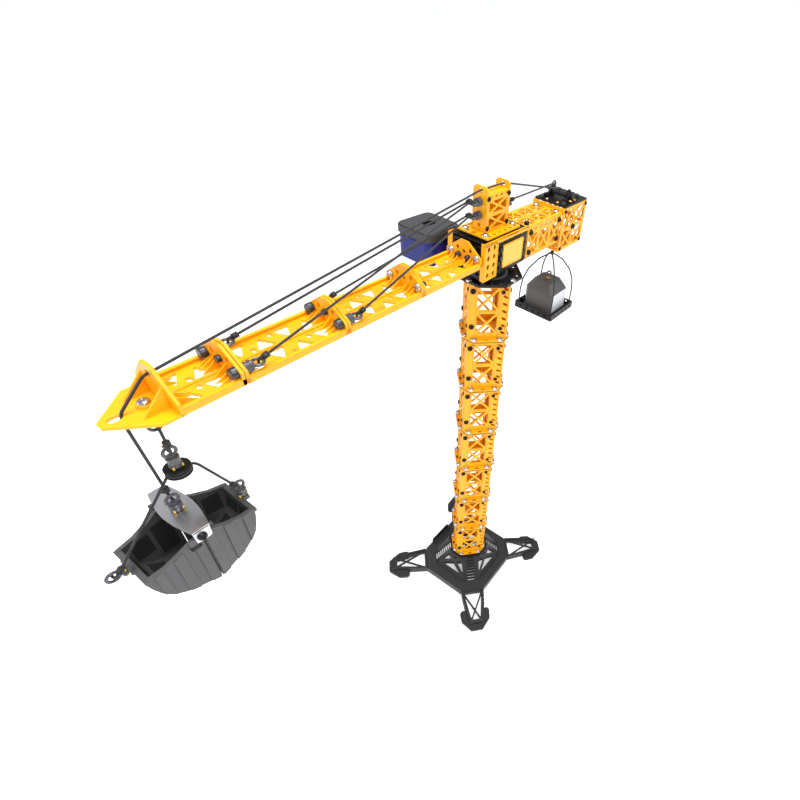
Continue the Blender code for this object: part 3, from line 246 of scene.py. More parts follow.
def torus(centre, axis, radius, wire, around=24, across=10):
    bm = bmesh.new()
    circle = bmesh.ops.create_circle(bm, segments=across, radius=wire)["verts"]
    bmesh.ops.rotate(bm, verts=circle, matrix=Matrix.Rotation(math.pi / 2, 3, "X"))
    bmesh.ops.translate(bm, verts=circle, vec=(radius, 0, 0))
    bmesh.ops.spin(bm, geom=bm.edges[:], cent=(0, 0, 0), axis=(0, 0, 1), angle=math.tau, steps=around)
    bmesh.ops.remove_doubles(bm, verts=bm.verts, dist=0.001)
    turn = Vector(axis).to_track_quat("Z", "Y").to_matrix().to_4x4()
    return tool_from(bm, Matrix.Translation(centre) @ turn)


def combine(obj, others, operation):
    if not others:
        return obj
    group = bpy.data.collections.new("operands")
    bpy.context.scene.collection.children.link(group)
    for other in others:
        bpy.context.scene.collection.objects.unlink(other)
        group.objects.link(other)
    modifier = obj.modifiers.new(operation, "BOOLEAN")
    modifier.operation = operation
    modifier.operand_type = "COLLECTION"
    modifier.collection = group
    modifier.solver = "EXACT"
    graph = bpy.context.evaluated_depsgraph_get()
    mesh = bpy.data.meshes.new_from_object(obj.evaluated_get(graph))
    obj.modifiers.clear()
    obj.data = mesh
    for other in others:
        bpy.data.objects.remove(other, do_unlink=True)
    bpy.data.collections.remove(group)
    return obj


def plate(outline, holes, low, high, matrix=None):
    body = prism(outline, low, high)
    combine(body, [prism(hole, low - 1, high + 1) for hole in holes], "DIFFERENCE")
    if matrix is not None:
        body.data.transform(matrix)
    return body


def gather(shapes):
    """Several loose shapes as one mesh, kept apart inside it."""
    bm = bmesh.new()
    for shape in shapes:
        bm.from_mesh(shape.data)
        bpy.data.objects.remove(shape, do_unlink=True)
    mesh = bpy.data.meshes.new("gathered")
    bm.to_mesh(mesh)
    bm.free()
    obj = bpy.data.objects.new("gathered", mesh)
    bpy.context.scene.collection.objects.link(obj)
    return obj


def piece(name, shape, material, body, nodes=(), smooth=None, slot=None):
    """Names a shape, gives it its material and body, and hides the CAD nodes it stands for."""
    bm = bmesh.new()
    bm.from_mesh(shape.data)
    bmesh.ops.remove_doubles(bm, verts=bm.verts, dist=0.002)
    bmesh.ops.dissolve_limit(bm, angle_limit=0.002, verts=bm.verts, edges=bm.edges)
    for face in bm.faces:
        face.smooth = smooth is not None
    bmesh.ops.scale(bm, vec=(MM, MM, MM), verts=bm.verts)
    mesh = bpy.data.meshes.new(name)
    bm.to_mesh(mesh)
    bm.free()
    if smooth is not None:
        mesh.set_sharp_from_angle(angle=math.radians(smooth))
    mesh.materials.append(material)
    obj = bpy.data.objects.new(name, mesh)
    bpy.data.objects.remove(shape, do_unlink=True)
    bpy.context.scene.collection.objects.link(obj)
    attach(obj, body)
    if nodes:
        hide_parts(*nodes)
    return obj


def copy_piece(source, name, matrix, body, nodes=()):
    """Another of the same moulding, moved by matrix, which is in millimetres."""
    mesh = source.data.copy()
    mesh.transform(Matrix.Scale(MM, 4) @ matrix @ Matrix.Scale(1 / MM, 4))
    obj = bpy.data.objects.new(name, mesh)
    bpy.context.scene.collection.objects.link(obj)
    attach(obj, body)
    if nodes:
        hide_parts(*nodes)
    return obj


# ---- outlines -----------------------------------------------------------------------------------
def octagon(half, edge, x=0.0, y=0.0):
    points = []
    for step in range(4):
        c, s = round(math.cos(step * math.pi / 2)), round(math.sin(step * math.pi / 2))
        points += [(x + u * c - v * s, y + u * s + v * c) for u, v in ((-edge, -half), (edge, -half))]
    return points


def disc(x, y, radius, sides=16, stretch=1.0, lean=0.0):
    points = []
    for step in range(sides):
        angle = math.tau * (step + 0.5) / sides
        u, v = radius * stretch * math.cos(angle), radius * math.sin(angle)
        along, across = u * math.cos(lean) - v * math.sin(lean), u * math.sin(lean) + v * math.cos(lean)
        points.append((x + along, y + across))
    return points


def rectangle(x0, y0, x1, y1):
    return [(x0, y0), (x1, y0), (x1, y1), (x0, y1)]


def rounded(outline, radius, steps=3):
    """A convex outline with its corners turned off in arcs."""
    points = []
    count = len(outline)
    for index in range(count):
        corner = Vector(outline[index])
        before = (Vector(outline[index - 1]) - corner).normalized()
        after = (Vector(outline[(index + 1) % count]) - corner).normalized()
        half = before.angle(after) / 2
        reach = min(radius / math.tan(half), (Vector(outline[index - 1]) - corner).length * 0.45)
        reach = min(reach, (Vector(outline[(index + 1) % count]) - corner).length * 0.45)
        for step in range(steps + 1):
            t = step / steps
            point = corner + before * reach * (1 - t) ** 2 + after * reach * t ** 2
            points.append(tuple(point))
    return points


def inset(outline, distance):
    count = len(outline)
    lines = []
    for index in range(count):
        a, b = Vector(outline[index]), Vector(outline[(index + 1) % count])
        along = (b - a).normalized()
        lines.append((a + Vector((-along.y, along.x)) * distance, along))
    points = []
    for index in range(count):
        (p, d), (q, e) = lines[index - 1], lines[index]
        cross = d.x * e.y - d.y * e.x
        reach = ((q.x - p.x) * e.y - (q.y - p.y) * e.x) / cross
        points.append(tuple(p + d * reach))
    return points


def cross_braces(quad, bar, corner=0.8):
    a, b, c, d = (Vector(point) for point in quad)
    u, v = c - a, d - b
    reach = ((b.x - a.x) * v.y - (b.y - a.y) * v.x) / (u.x * v.y - u.y * v.x)
    middle = a + u * reach
    holes = []
    for p, q in ((a, b), (b, c), (c, d), (d, a)):
        holes.append(rounded(inset([tuple(p), tuple(q), tuple(middle)], bar / 2), corner))
    return holes


def hole_grid(x_from, x_to, columns, y_from, y_to, rows, radius, sides=12, stretch=1.0, lean=0.0):
    holes = []
    for column in range(columns):
        for row in range(rows):
            x = x_from + (x_to - x_from) * column / max(columns - 1, 1)
            y = y_from + (y_to - y_from) * row / max(rows - 1, 1)
            holes.append(disc(x, y, radius, sides, stretch, lean))
    return holes


def upright(x=0.0, y=0.0, z=0.0, turn=0.0):
    return Matrix.Translation((x, y, z)) @ Matrix.Rotation(turn, 4, "Z") @ Matrix.Rotation(
        math.pi / 2, 4, "X"
    )


def quarter(step):
    """A number of quarter turns about the upright axis."""
    return Matrix.Rotation(step * math.pi / 2, 4, "Z")


def rod(radius, length, base, axis, steps):
    """A plain round bar."""
    return turned([(0.01, 0), (radius, 0), (radius, length), (0.01, length)], base, axis, steps)


def put(name, shapes, *rest, **options):
    """Joins the shapes into one piece."""
    return piece(name, gather(shapes), *rest, **options)


ACROSS = math.pi / 2
UP, DOWN, AHEAD, BACK = (0, 0, 1), (0, 0, -1), (1, 0, 0), (-1, 0, 0)
NEAR, FAR, BASE_POINT = (0, 1, 0), (0, -1, 0), (0, 0, 0)
TURN = Matrix.Rotation(TOWER_TURN, 4, "Z")


# ---- screws -------------------------------------------------------------------------------------
def screw_head(base, axis, radius=3.9, height=2.6):
    """A domed head with a cross recess."""
    profile = [(0.0005, -0.6), (radius * 0.98, -0.6), (radius, height * 0.25)]
    for step in range(1, 5):
        angle = step / 5 * math.pi / 2
        profile.append((radius * math.cos(angle) ** 0.8, height * (0.25 + 0.75 * math.sin(angle))))
    profile.append((0.0005, height))
    head = turned(profile, base, axis, 18)
    turn = Vector(axis).to_track_quat("Z", "Y").to_matrix().to_4x4()
    place = Matrix.Translation(base) @ turn
    slot, arm = radius * 0.14, radius * 0.55
    cuts = []
    for u, v in ((slot, arm), (arm, slot)):
        cuts.append(block((-u, -v, height * 0.55), (u, v, height * 1.5), place))
    return combine(head, cuts, "DIFFERENCE")


def nut(base, axis, radius=4.2, height=4):
    """A round cap nut with a chamfered top."""
    shape = turned(
        [(0.0005, -0.3), (radius, -0.3), (radius, height * 0.8), (radius * 0.86, height), (0.0005, height)],
        base,
        axis,
        16,
    )
    return shape


HEADS = {}


def screw_at(kind, base, axis):
    """A copy of one modelled head, so that the Boolean runs once for each kind."""
    if kind not in HEADS:
        radius, height = {"silver": (3.9, 2.6), "black": (3.3, 2.9), "small": (2.6, 1.8)}[kind]
        HEADS[kind] = screw_head((0, 0, 0), (0, 0, 1), radius, height).data
    mesh = HEADS[kind].copy()
    turn = Vector(axis).to_track_quat("Z", "Y").to_matrix().to_4x4()
    mesh.transform(Matrix.Translation(base) @ turn)
    obj = bpy.data.objects.new("screw", mesh)
    bpy.context.scene.collection.objects.link(obj)
    return obj


# ---- camera and light -----------------------------------------------------------------------------
def set_camera():
    data = bpy.data.cameras.new("camera")
    data.lens, data.sensor_width = 21.85, 36
    data.shift_x, data.shift_y = -0.1758, -0.0058
    data.clip_start, data.clip_end = 0.01, 30
    camera = bpy.data.objects.new("camera", data)
    right, up, back = (-0.5337, 0.8342, 0.137), (-0.4864, -0.4357, 0.757), (0.6916, 0.3380, 0.639)
    turn = Matrix((right, up, back)).transposed().to_4x4()
    camera.matrix_world = Matrix.Translation((0.4331, 0.3089, 0.8799)) @ turn
    bpy.context.scene.collection.objects.link(camera)
    bpy.context.scene.camera = camera


def area_light(name, place, target, size, power, colour=(1, 1, 1)):
    data = bpy.data.lights.new(name, "AREA")
    data.shape, data.size, data.energy, data.color = "DISK", size, power, colour
    lamp = bpy.data.objects.new(name, data)
    lamp.location = place
    lamp.rotation_euler = (Vector(target) - Vector(place)).to_track_quat("-Z", "Y").to_euler()
    bpy.context.scene.collection.objects.link(lamp)


def set_light():
    world = bpy.data.worlds.new("world")
    world.use_nodes = True
    tree = world.node_tree
    glow = tree.nodes["Background"]
    glow.inputs["Color"].default_value = (0.95, 0.97, 1.0, 1)
    glow.inputs["Strength"].default_value = 0.55
    seen = add_node(tree, "ShaderNodeBackground", Color=(1, 1, 1, 1), Strength=1.0)
    path, choice = add_node(tree, "ShaderNodeLightPath"), add_node(tree, "ShaderNodeMixShader")
    tree.links.new(path.outputs["Is Camera Ray"], choice.inputs[0])
    tree.links.new(glow.outputs["Background"], choice.inputs[1])
    tree.links.new(seen.outputs["Background"], choice.inputs[2])
    tree.links.new(choice.outputs["Shader"], tree.nodes["World Output"].inputs["Surface"])
    bpy.context.scene.world = world
    bpy.context.scene.view_settings.view_transform = "Standard"
    area_light("key", (0.5, 1.3, 2.0), (0.1, 0, 0.45), 0.9, 17)
    area_light("fill", (1.7, -0.5, 1.1), (0.1, 0, 0.4), 1.4, 9)
    area_light("top", (0.1, 0.0, 2.3), (0.1, 0, 0.3), 1.1, 34)
    material, tree, shader = shader_of("floor")
    noise = add_node(tree, "ShaderNodeTexNoise", Scale=60.0)
    bump = add_node(tree, "ShaderNodeBump", Strength=0.01)
    tree.links.new(noise.outputs["Fac"], bump.inputs["Height"])
    tree.links.new(bump.outputs["Normal"], shader.inputs["Normal"])
    shader.inputs["Base Color"].default_value = (0.94, 0.94, 0.94, 1)
    shader.inputs["Roughness"].default_value = 0.9
    shader.inputs["Emission Color"].default_value = (1, 1, 1, 1)
    shader.inputs["Emission Strength"].default_value = 0.5
    bm = bmesh.new()
    bmesh.ops.create_grid(bm, x_segments=1, y_segments=1, size=60)
    mesh = bpy.data.meshes.new("floor")
    bm.to_mesh(mesh)
    bm.free()
    mesh.materials.append(material)
    floor = bpy.data.objects.new("floor", mesh)
    floor.location = (0, 0, -0.0005)
    bpy.context.scene.collection.objects.link(floor)


# ---- ropes ----------------------------------------------------------------------------------------
EYES = {
    "mast_upper": (33.3, 0, 703), "mast_lower": (33.3, 0, 689), "mast_back": (-29, 0, 690),
    "nose": (357.5, 0, 628), "winch": (-166.5, -20.6, 680.8), "middle": (369, 0, 562),
    "pulley": (357.5, 0, 602.7), "front": (420.1, 0, 525.6), "back": (326, 0, 537),
    "outer_near": (291.6, 17.5, 652.5), "outer_far": (291.6, -17.5, 652.5),
    "inner_near": (204.6, 17.5, 652.5), "inner_far": (204.6, -17.5, 652.5),
}


def hook(centre, away, up, lateral=(0, 0, 0)):
    """Over a ring and down through its hole, from the side that the rope comes from."""
    centre, away, up = Vector(centre) + Vector(lateral), Vector(away), Vector(up)
    steps = ((7.5, 2.9), (1.4, 2.9), (0.4, 1.2), (0.2, -2.6))
    return [centre + away * out + up * rise for out, rise in steps]


def resampled(points, reach):
    """The same route with its corners rounded over a short reach and its stretches left straight."""
    points = [Vector(point) for point in points]
    result = [points[0]]
    for before, corner, after in zip(points, points[1:], points[2:]):
        back, on = before - corner, after - corner
        start = corner + back.normalized() * min(reach, back.length * 0.49)
        end = corner + on.normalized() * min(reach, on.length * 0.49)
        for t in (0, 0.25, 0.5, 0.75, 1):
            result.append(start * (1 - t) ** 2 + corner * (2 * t * (1 - t)) + end * t**2)
    return [*result, points[-1]]


def cord_piece(name, points, diameter, body, knots=(), nodes=None):
    curve = bpy.data.curves.new(name, "CURVE")
    curve.dimensions = "3D"
    curve.bevel_depth = diameter / 2 * MM
    curve.bevel_resolution = 4
    curve.use_fill_caps = True
    route = resampled(points, 3.0)
    spline = curve.splines.new("POLY")
    spline.points.add(len(route) - 1)
    for point, place in zip(spline.points, route):
        point.co = (*(place * MM), 1)
    spline.use_smooth = True
    curve.materials.append(ROPE)
    obj = bpy.data.objects.new(f"cord_{name}", curve)
    bpy.context.scene.collection.objects.link(obj)
    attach(obj, body)
    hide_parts(*(nodes or [name]))
    return obj


def knot(name, centre, axis, body, size=2.6):
    """Three turns of the cord wound tight, with the cut tail."""
    centre, axis = Vector(centre), Vector(axis).normalized()
    turns = [torus(centre + axis * at, axis, size * 0.62, 0.95, 14, 6) for at in (-1.6, 0, 1.6)]
    side = axis.orthogonal().normalized()
    tail = turned([(0.01, 0), (0.9, 0), (0.8, 4.2), (0.01, 4.4)], centre + side * 1.2, side + axis * 0.6, 8)
    core = turned([(0.01, -2.4), (1.5, -2.0), (1.5, 2.0), (0.01, 2.4)], centre, axis, 8)
    return put(name, [*turns, tail, core], ROPE, body, smooth=40)


def ropes():
    up, down, near, far = UP, DOWN, NEAR, FAR
    for place, eye in (("outer", "mast_upper"), ("inner", "mast_lower")):
        for side, sign in (("near", 1), ("far", -1)):
            top = hook(EYES[eye], AHEAD, up, (0, sign * 1.3, 0))
            foot = hook(EYES[f"{place}_{side}"], BACK, up)
            name = f"tie_{place}_{side}"
            span = (foot[0] - top[0]).normalized()
            knots = [
                knot(f"{name}_knot_top", top[0] - span * 1.2, span, "head", 2.3),
                knot(f"{name}_knot_foot", foot[0] + span * 1.2, span, "head", 2.5),
            ]
            cord_piece(name, [*top[::-1], *foot], 2, "head", knots)
    over, drum = MAST_TOP - 4.4, BOX_HIGH + 9.8
    path = [(-149, 0, drum + 4.8), (-146, 0, drum + 4.8), (MAST_BACK - 1, 0, over), (MAST_FRONT + 1, 0, over)]
    path += [(NOSE_GABLE - 4, 0, JIB_FLOOR + 21), (NOSE_GABLE + 3, 0, JIB_FLOOR + 20.2)]
    path += [(NOSE_HOLE_X - 3.6, 0, JIB_FLOOR + 1.5), (NOSE_HOLE_X - 2.8, 0, JIB_FLOOR - 9)]
    cord_piece("rope_hoist", path, 2, "head")
    top = hook(EYES["mast_back"], BACK, up)
    foot = hook(EYES["winch"], (0.92, 0, 0.38), near)
    cord_piece(
        "rope_back", [*top[::-1], *foot], 2, "head", [knot("rope_back_knot", top[0], AHEAD, "head")]
    )
    hang = hook(EYES["nose"], down, near)[::-1] + hook(EYES["pulley"], up, near)
    cord_piece(
        "rope_hanger",
        hang,
        2,
        "grab",
        [knot("rope_hanger_knot", hang[-4] + Vector((0, 0, 2)), up, "grab")],
    )
    start = Vector((NOSE_HOLE_X - 2.9, 0, JIB_FLOOR - 9.3))
    drop = [start, *hook(EYES["middle"], up, far)]
    cord_piece(
        "rope_drop",
        drop,
        2,
        "grab",
        [knot("rope_drop_knot", drop[1] + Vector((0, 0, 1)), up, "grab")],
    )
    x, z = NOSE_EYE_X, PULLEY_Z
    path = [(x - 10.8, 3, z - 1.2)]
    for step in range(13):
        angle = math.pi - math.pi * (step + 0.5) / 13
        path.append((x + 7.9 * math.cos(angle), 7.9 * math.sin(angle), z))
    path.append((x + 10.8, 3, z - 1.2))
    back, front = hook(EYES["back"], (0.55, 0, 0.84), near), hook(EYES["front"], (-0.7, 0, 0.71), near)
    knots = [
        knot("rope_spreader_knot_back", back[0], (0.55, 0, 0.84), "grab"),
        knot("rope_spreader_knot_front", front[0], (-0.7, 0, 0.71), "grab"),
    ]
    cord_piece("rope_spreader", [*back[::-1], *path, *front], 2, "grab", knots)
    weight_cords()


def weight_cords():
    eye, tie, z = WEIGHT_EYE_Z, WEIGHT_EYE_Z - 10.4, TRAY_Z
    for index, (u, v) in enumerate(((1, 1), (1, -1), (-1, -1), (-1, 1))):
        arm = [(WEIGHT_X + u * 28.2, v * 28.2, z + 2.3), (WEIGHT_X + u * 28, v * 28, z + 30)]
        arm += [(WEIGHT_X + u * out, v * out, z + rise) for out, rise in ((26.6, 46), (22, 62), (12, 78))]
        arm.append((WEIGHT_X + u * 0.3, v * 0.3, tie))
        knots = [
            knot(f"weight_cord_{index + 1}_knot", (WEIGHT_X + u * 28.2, v * 28.2, z + 5.5), UP, "weight", 2.2)
        ]
        cord_piece(f"weight_{index + 1}", arm, 2, "weight", knots, ["weight_cords"])
    shapes = [torus((WEIGHT_X, 0, tie + at), UP, 1.9, 0.8, 14, 6) for at in (-1.8, -0.2, 1.4)]
    loop = hook((WEIGHT_X, 0, eye), DOWN, NEAR)
    for a, b in zip([Vector((WEIGHT_X, 0, tie)), *loop], loop):
        shapes.append(rod(0.8, (b - a).length, a, b - a, 8))
    put("weight_knot", shapes, ROPE, "weight", smooth=40)


# ---- base -----------------------------------------------------------------------------------------
RING_HALF, RING_EDGE, RING_INNER, RING_INNER_EDGE, RING_TOP = 76.5, 21.5, 61, 15, 16


def base_frame():
    outer, inner = octagon(RING_HALF, RING_EDGE), octagon(RING_INNER, RING_INNER_EDGE)
    foot = octagon(31.5, 18)
    deck, foot_top = RING_TOP - 2.6, FOOT_Z - 0.3
    cone = hull(
        [(x, y, RING_TOP) for x, y in inner] + [(x, y, deck) for x, y in inner] + [
            (x, y, foot_top) for x, y in foot
        ]
    )
    hollow = hull(
        [(x * 0.965, y * 0.965, deck - 0.4) for x, y in inner] + [
            (x * 0.9, y * 0.9, FOOT_Z - 4.5) for x, y in foot
        ]
    )
    under = prism(inset(outer, 2.2), -5, deck)
    shell = combine(combine(prism(outer, 3, RING_TOP), [cone], "UNION"), [under, hollow], "DIFFERENCE")
    cuts = [prism(octagon(14, 9), FOOT_Z - 12, FOOT_Z + 5)]
    for step in range(4):
        turn = quarter(step)
        for rung in range(8):
            at = -(58 - 3.5 * rung)
            cuts.append(prism(rounded(rectangle(-7, at - 1.2, 7, at + 1.2), 0.5), 0, 60, turn))
        if step in (0, 3):
            quad = [(12.5, -58.5), (58.5, -12.5), (36, -14), (14, -36)]
            cuts += [prism(hole, 0, 60, turn) for hole in cross_braces(inset(quad, 0.4), 2.8)]
    back_left = Matrix.Rotation(math.pi / 4 + math.pi, 4, "Z")
    for tooth in range(7):
        at = (tooth - 3) * 4.6
        cuts.append(block((at - 1.4, -51, 0), (at + 1.4, -42, 60), back_left))
    back_right = Matrix.Rotation(math.pi / 4 + math.pi / 2, 4, "Z")
    cuts.append(block((-16, -49, 0), (16, -44, 60), back_right))
    combine(shell, cuts, "DIFFERENCE")
    shell.data.transform(TURN)
    side = (RING_HALF + RING_EDGE) / math.sqrt(2)
    turn = TURN @ back_left
    channel = plate(
        rectangle(-22, -side + 0.6, 22, -side + 9),
        hole_grid(-15, 15, 4, -side + 5.8, -side + 5.8, 1, 1.7),
        RING_TOP - 1,
        RING_TOP + 2.4, turn,
    )
    wall = plate(
        rectangle(-22, RING_TOP - 1, 22, RING_TOP + 11),
        hole_grid(-15, 15, 4, RING_TOP + 6.6, RING_TOP + 6.6, 1, 1.8),
        0,
        2.2,
    )
    wall.data.transform(turn @ upright(y=-side + 2.8))
    ends = [
        block((at - 0.9, -side + 1, RING_TOP), (at + 0.9, -side + 8, RING_TOP + 5), turn) for at in (-21, 21)
    ]
    strut = [
        block((-13.2, -3, FOOT_Z - 7), (13.2, 3, FOOT_Z - 3.2), TURN),
        block((-3, -21, FOOT_Z - 7), (3, 21, FOOT_Z - 3.2), TURN),
    ]
    hub = turned([(0.01, 0), (6, 0), (6, 3), (5, 4), (5, FOOT_Z - 5), (0.01, FOOT_Z - 5)], BASE_POINT, UP, 20)
    put("base_ring", [shell, channel, wall, *ends, *strut, hub], BASE, "tower", ["base_frame"])
    collar = octagon(32.6, 18.4)
    low = plate(collar, [octagon(30.5, 17.2)], FOOT_Z - 2.2, FOOT_Z + 3.4, TURN)
    ribs = []
    for step in range(4):
        turn = TURN @ quarter(step)
        for at in (-12, 12):
            ribs.append(block((at - 0.8, -34, FOOT_Z - 4.5), (at + 0.8, -32, FOOT_Z + 2.8), turn))
    put("base_socket", [low, *ribs], BLACK, "tower")


def leg_shape():
    start, end, wide, middle, narrow = RING_HALF + 0.3, 139, 21, 17, 11.5
    outline = [(start, -wide), (112, -middle), (end, -narrow), (end, narrow), (112, middle), (start, wide)]
    toe = [(110, -23), (114, -26.5), (129, -25), (147, -10)]
    toe += [(x, -y) for x, y in reversed(toe)]
    window = [(start + 3, -wide + 3.2), (end - 5.5, -narrow + 2.6)]
    window += [(x, -y) for x, y in reversed(window)]
    body = plate(rounded(outline, 1.2), [rounded(window, 2)], 3, RING_TOP)
    pad = plate(rounded(toe, 2), [rounded(window, 2)], 0, 5.2)
    step = plate(rounded(inset(toe, 1.4), 2), [rounded(window, 2)], 5.1, 8)
    ledge = plate(rounded(inset(toe, 3.2), 2), [rounded(window, 2)], 7.9, 10)
    braces = plate(inset(window, -1.5), cross_braces(window, 2.6), 10, 13.4)
    rim = plate(rounded(inset(outline, 0.4), 1), [inset(outline, 1.5)], RING_TOP - 0.3, RING_TOP + 0.6)
    ribs = []
    for sign in (1, -1):
        for at in (90, 98, 106):
            y = sign * (wide - 0.2 - (at - start) * (wide - middle) / (112 - start))
            ribs.append(
                block((at - 0.6, min(y, y + sign * 0.9), 4), (at + 0.6, max(y, y + sign * 0.9), RING_TOP - 1))
            )
    return gather([body, pad, step, ledge, braces, rim, *ribs])


def legs():
    first = piece("leg_frame_1", leg_shape(), BASE, "tower", ["leg_1"])
    first.data.transform(Matrix.Rotation(TOWER_TURN - math.pi / 2, 4, "Z"))
    for number in (2, 3, 4):
        turn = quarter(number - 1)
        copy_piece(first, f"leg_frame_{number}", turn, "tower", [f"leg_{number}"])


# ---- tower ----------------------------------------------------------------------------------------
def tower():
    half, top, wall = 24, SECTION - 0.3, 1.8
    holes = []
    for low, high in ((9, 38.6), (41, top - 7)):
        holes += cross_braces(rectangle(-15, low, 12.5, high), 2.5)
    for step in range(7):
        holes.append(disc(19.4, 10.2 + 10 * step, 1.8, 12, 2.0, math.radians(-32)))
    outline = rectangle(-half, 0.5, half - 0.5, top - 0.5)
    yellow, silver, dark = [], [], [plate(octagon(30.2, 17.1), [octagon(15.5, 11)], -0.75, 0.1)]
    rim = octagon(30, 17)
    slots = []
    for step in range(4):
        turn = quarter(step)
        yellow.append(plate(outline, holes, 0, wall, turn @ upright(y=-half + wall)))
        for x in (-15.9, 12.6):
            yellow.append(block((x, -half + wall - 0.2, 1.5), (x + 1.1, -half + 6.5, top - 1.5), turn))
        for x0, x1 in ((-24, -23), (-15.4, -14.8), (12.4, 13), (22.6, 23.5)):
            yellow.append(block((x0, -half - 0.6, 2.5), (x1, -half + 0.2, top - 2.5), turn))
        yellow.append(block((-14.8, -half - 0.5, 39.2), (12.4, -half + 0.2, 40.4), turn))
        slots.append([tuple((turn @ Vector((x, y, 0))).xy) for x, y in disc(0, -27, 1.5, 12, 2.2)])
        for x in (-15.8, 15.8):
            silver.append(screw_at("silver", turn @ Vector((x, -26.4, wall)), UP))
            dark.append(nut(turn @ Vector((x, -26.6, top - wall)), DOWN, 2.9, 2.6))
        for z in (19.5, 67.5):
            dark.append(screw_at("black", turn @ Vector((-19.6, -half, z)), turn @ Vector((0, -1, 0))))
        for z in (16.5, 66.5):
            dark.append(screw_at("small", turn @ Vector((16.2, -half, z)), turn @ Vector((0, -1, 0))))
    for low, high in ((0, wall), (top - wall, top)):
        yellow.append(plate(rim, [octagon(15.5, 11), *slots], low, high))
        lip = plate(rim, [inset(rim, 0.9)], min(low + 1.2, top - wall - 0.9), max(wall + 0.9, high - 1.2))
        yellow.append(lip)
    base = Matrix.Translation((0, 0, FOOT_Z)) @ TURN
    for shape, name, material, smooth in (
        (gather(yellow), "section_{}", YELLOW, None),
        (gather(silver), "section_{}_screws", STEEL, 35),
        (gather(dark), "section_{}_dark_screws", BLACK, 35),
    ):
        shape.data.transform(base)
        first = piece(
            name.format(1), shape, material, "tower", SECTIONS[:1] if material == YELLOW else (), smooth
        )
        for number in range(2, len(SECTIONS) + 1):
            lift = Matrix.Translation((0, 0, (number - 1) * SECTION))
            nodes = [SECTIONS[number - 1]] if material == YELLOW else ()
            copy_piece(first, name.format(number), lift, "tower", nodes)


def turntable():
    slots, dark, silver = [], [], []
    for step in range(4):
        turn = quarter(step)
        for x in (-11, 11):
            slots.append([tuple((turn @ Vector((u, v, 0))).xy) for u, v in disc(x, -33, 1.9, 12, 1.6)])
        slots.append([tuple((turn @ Vector((u, v, 0))).xy) for u, v in disc(0, -33, 1.7, 12)])
        silver.append(screw_at("silver", TURN @ turn @ Vector((25, -25, TOWER_TOP + 2)), UP))
        dark.append(nut(TURN @ turn @ Vector((0, -28, TOWER_TOP + 2)), UP, 2.6, 2.4))
    outline = octagon(38.5, 16)
    deck = plate(rounded(outline, 1), slots, TOWER_TOP, TOWER_TOP + 2, TURN)
    rim = plate(outline, [inset(outline, 1)], TOWER_TOP + 1.5, TOWER_TOP + 3.2, TURN)
    hub = turned([(5, 1.5), (24, 1.5), (24, 2.2), (22.5, 3), (5, 3)], (0, 0, TOWER_TOP), UP, 32)
    pin = turned([(0.01, 1), (4, 1), (4, 8.6), (3.4, 9), (0.01, 9)], (0, 0, TOWER_TOP), UP, 20)
    put("turntable_plate", [deck, rim, pin], BLACK, "tower", ["turntable_lower"])
    piece("turntable_bearing", hub, GREY, "tower", smooth=35)
    put("turntable_screws", silver, STEEL, "tower", smooth=35)
    put("turntable_nuts", dark, BLACK, "tower", smooth=35)


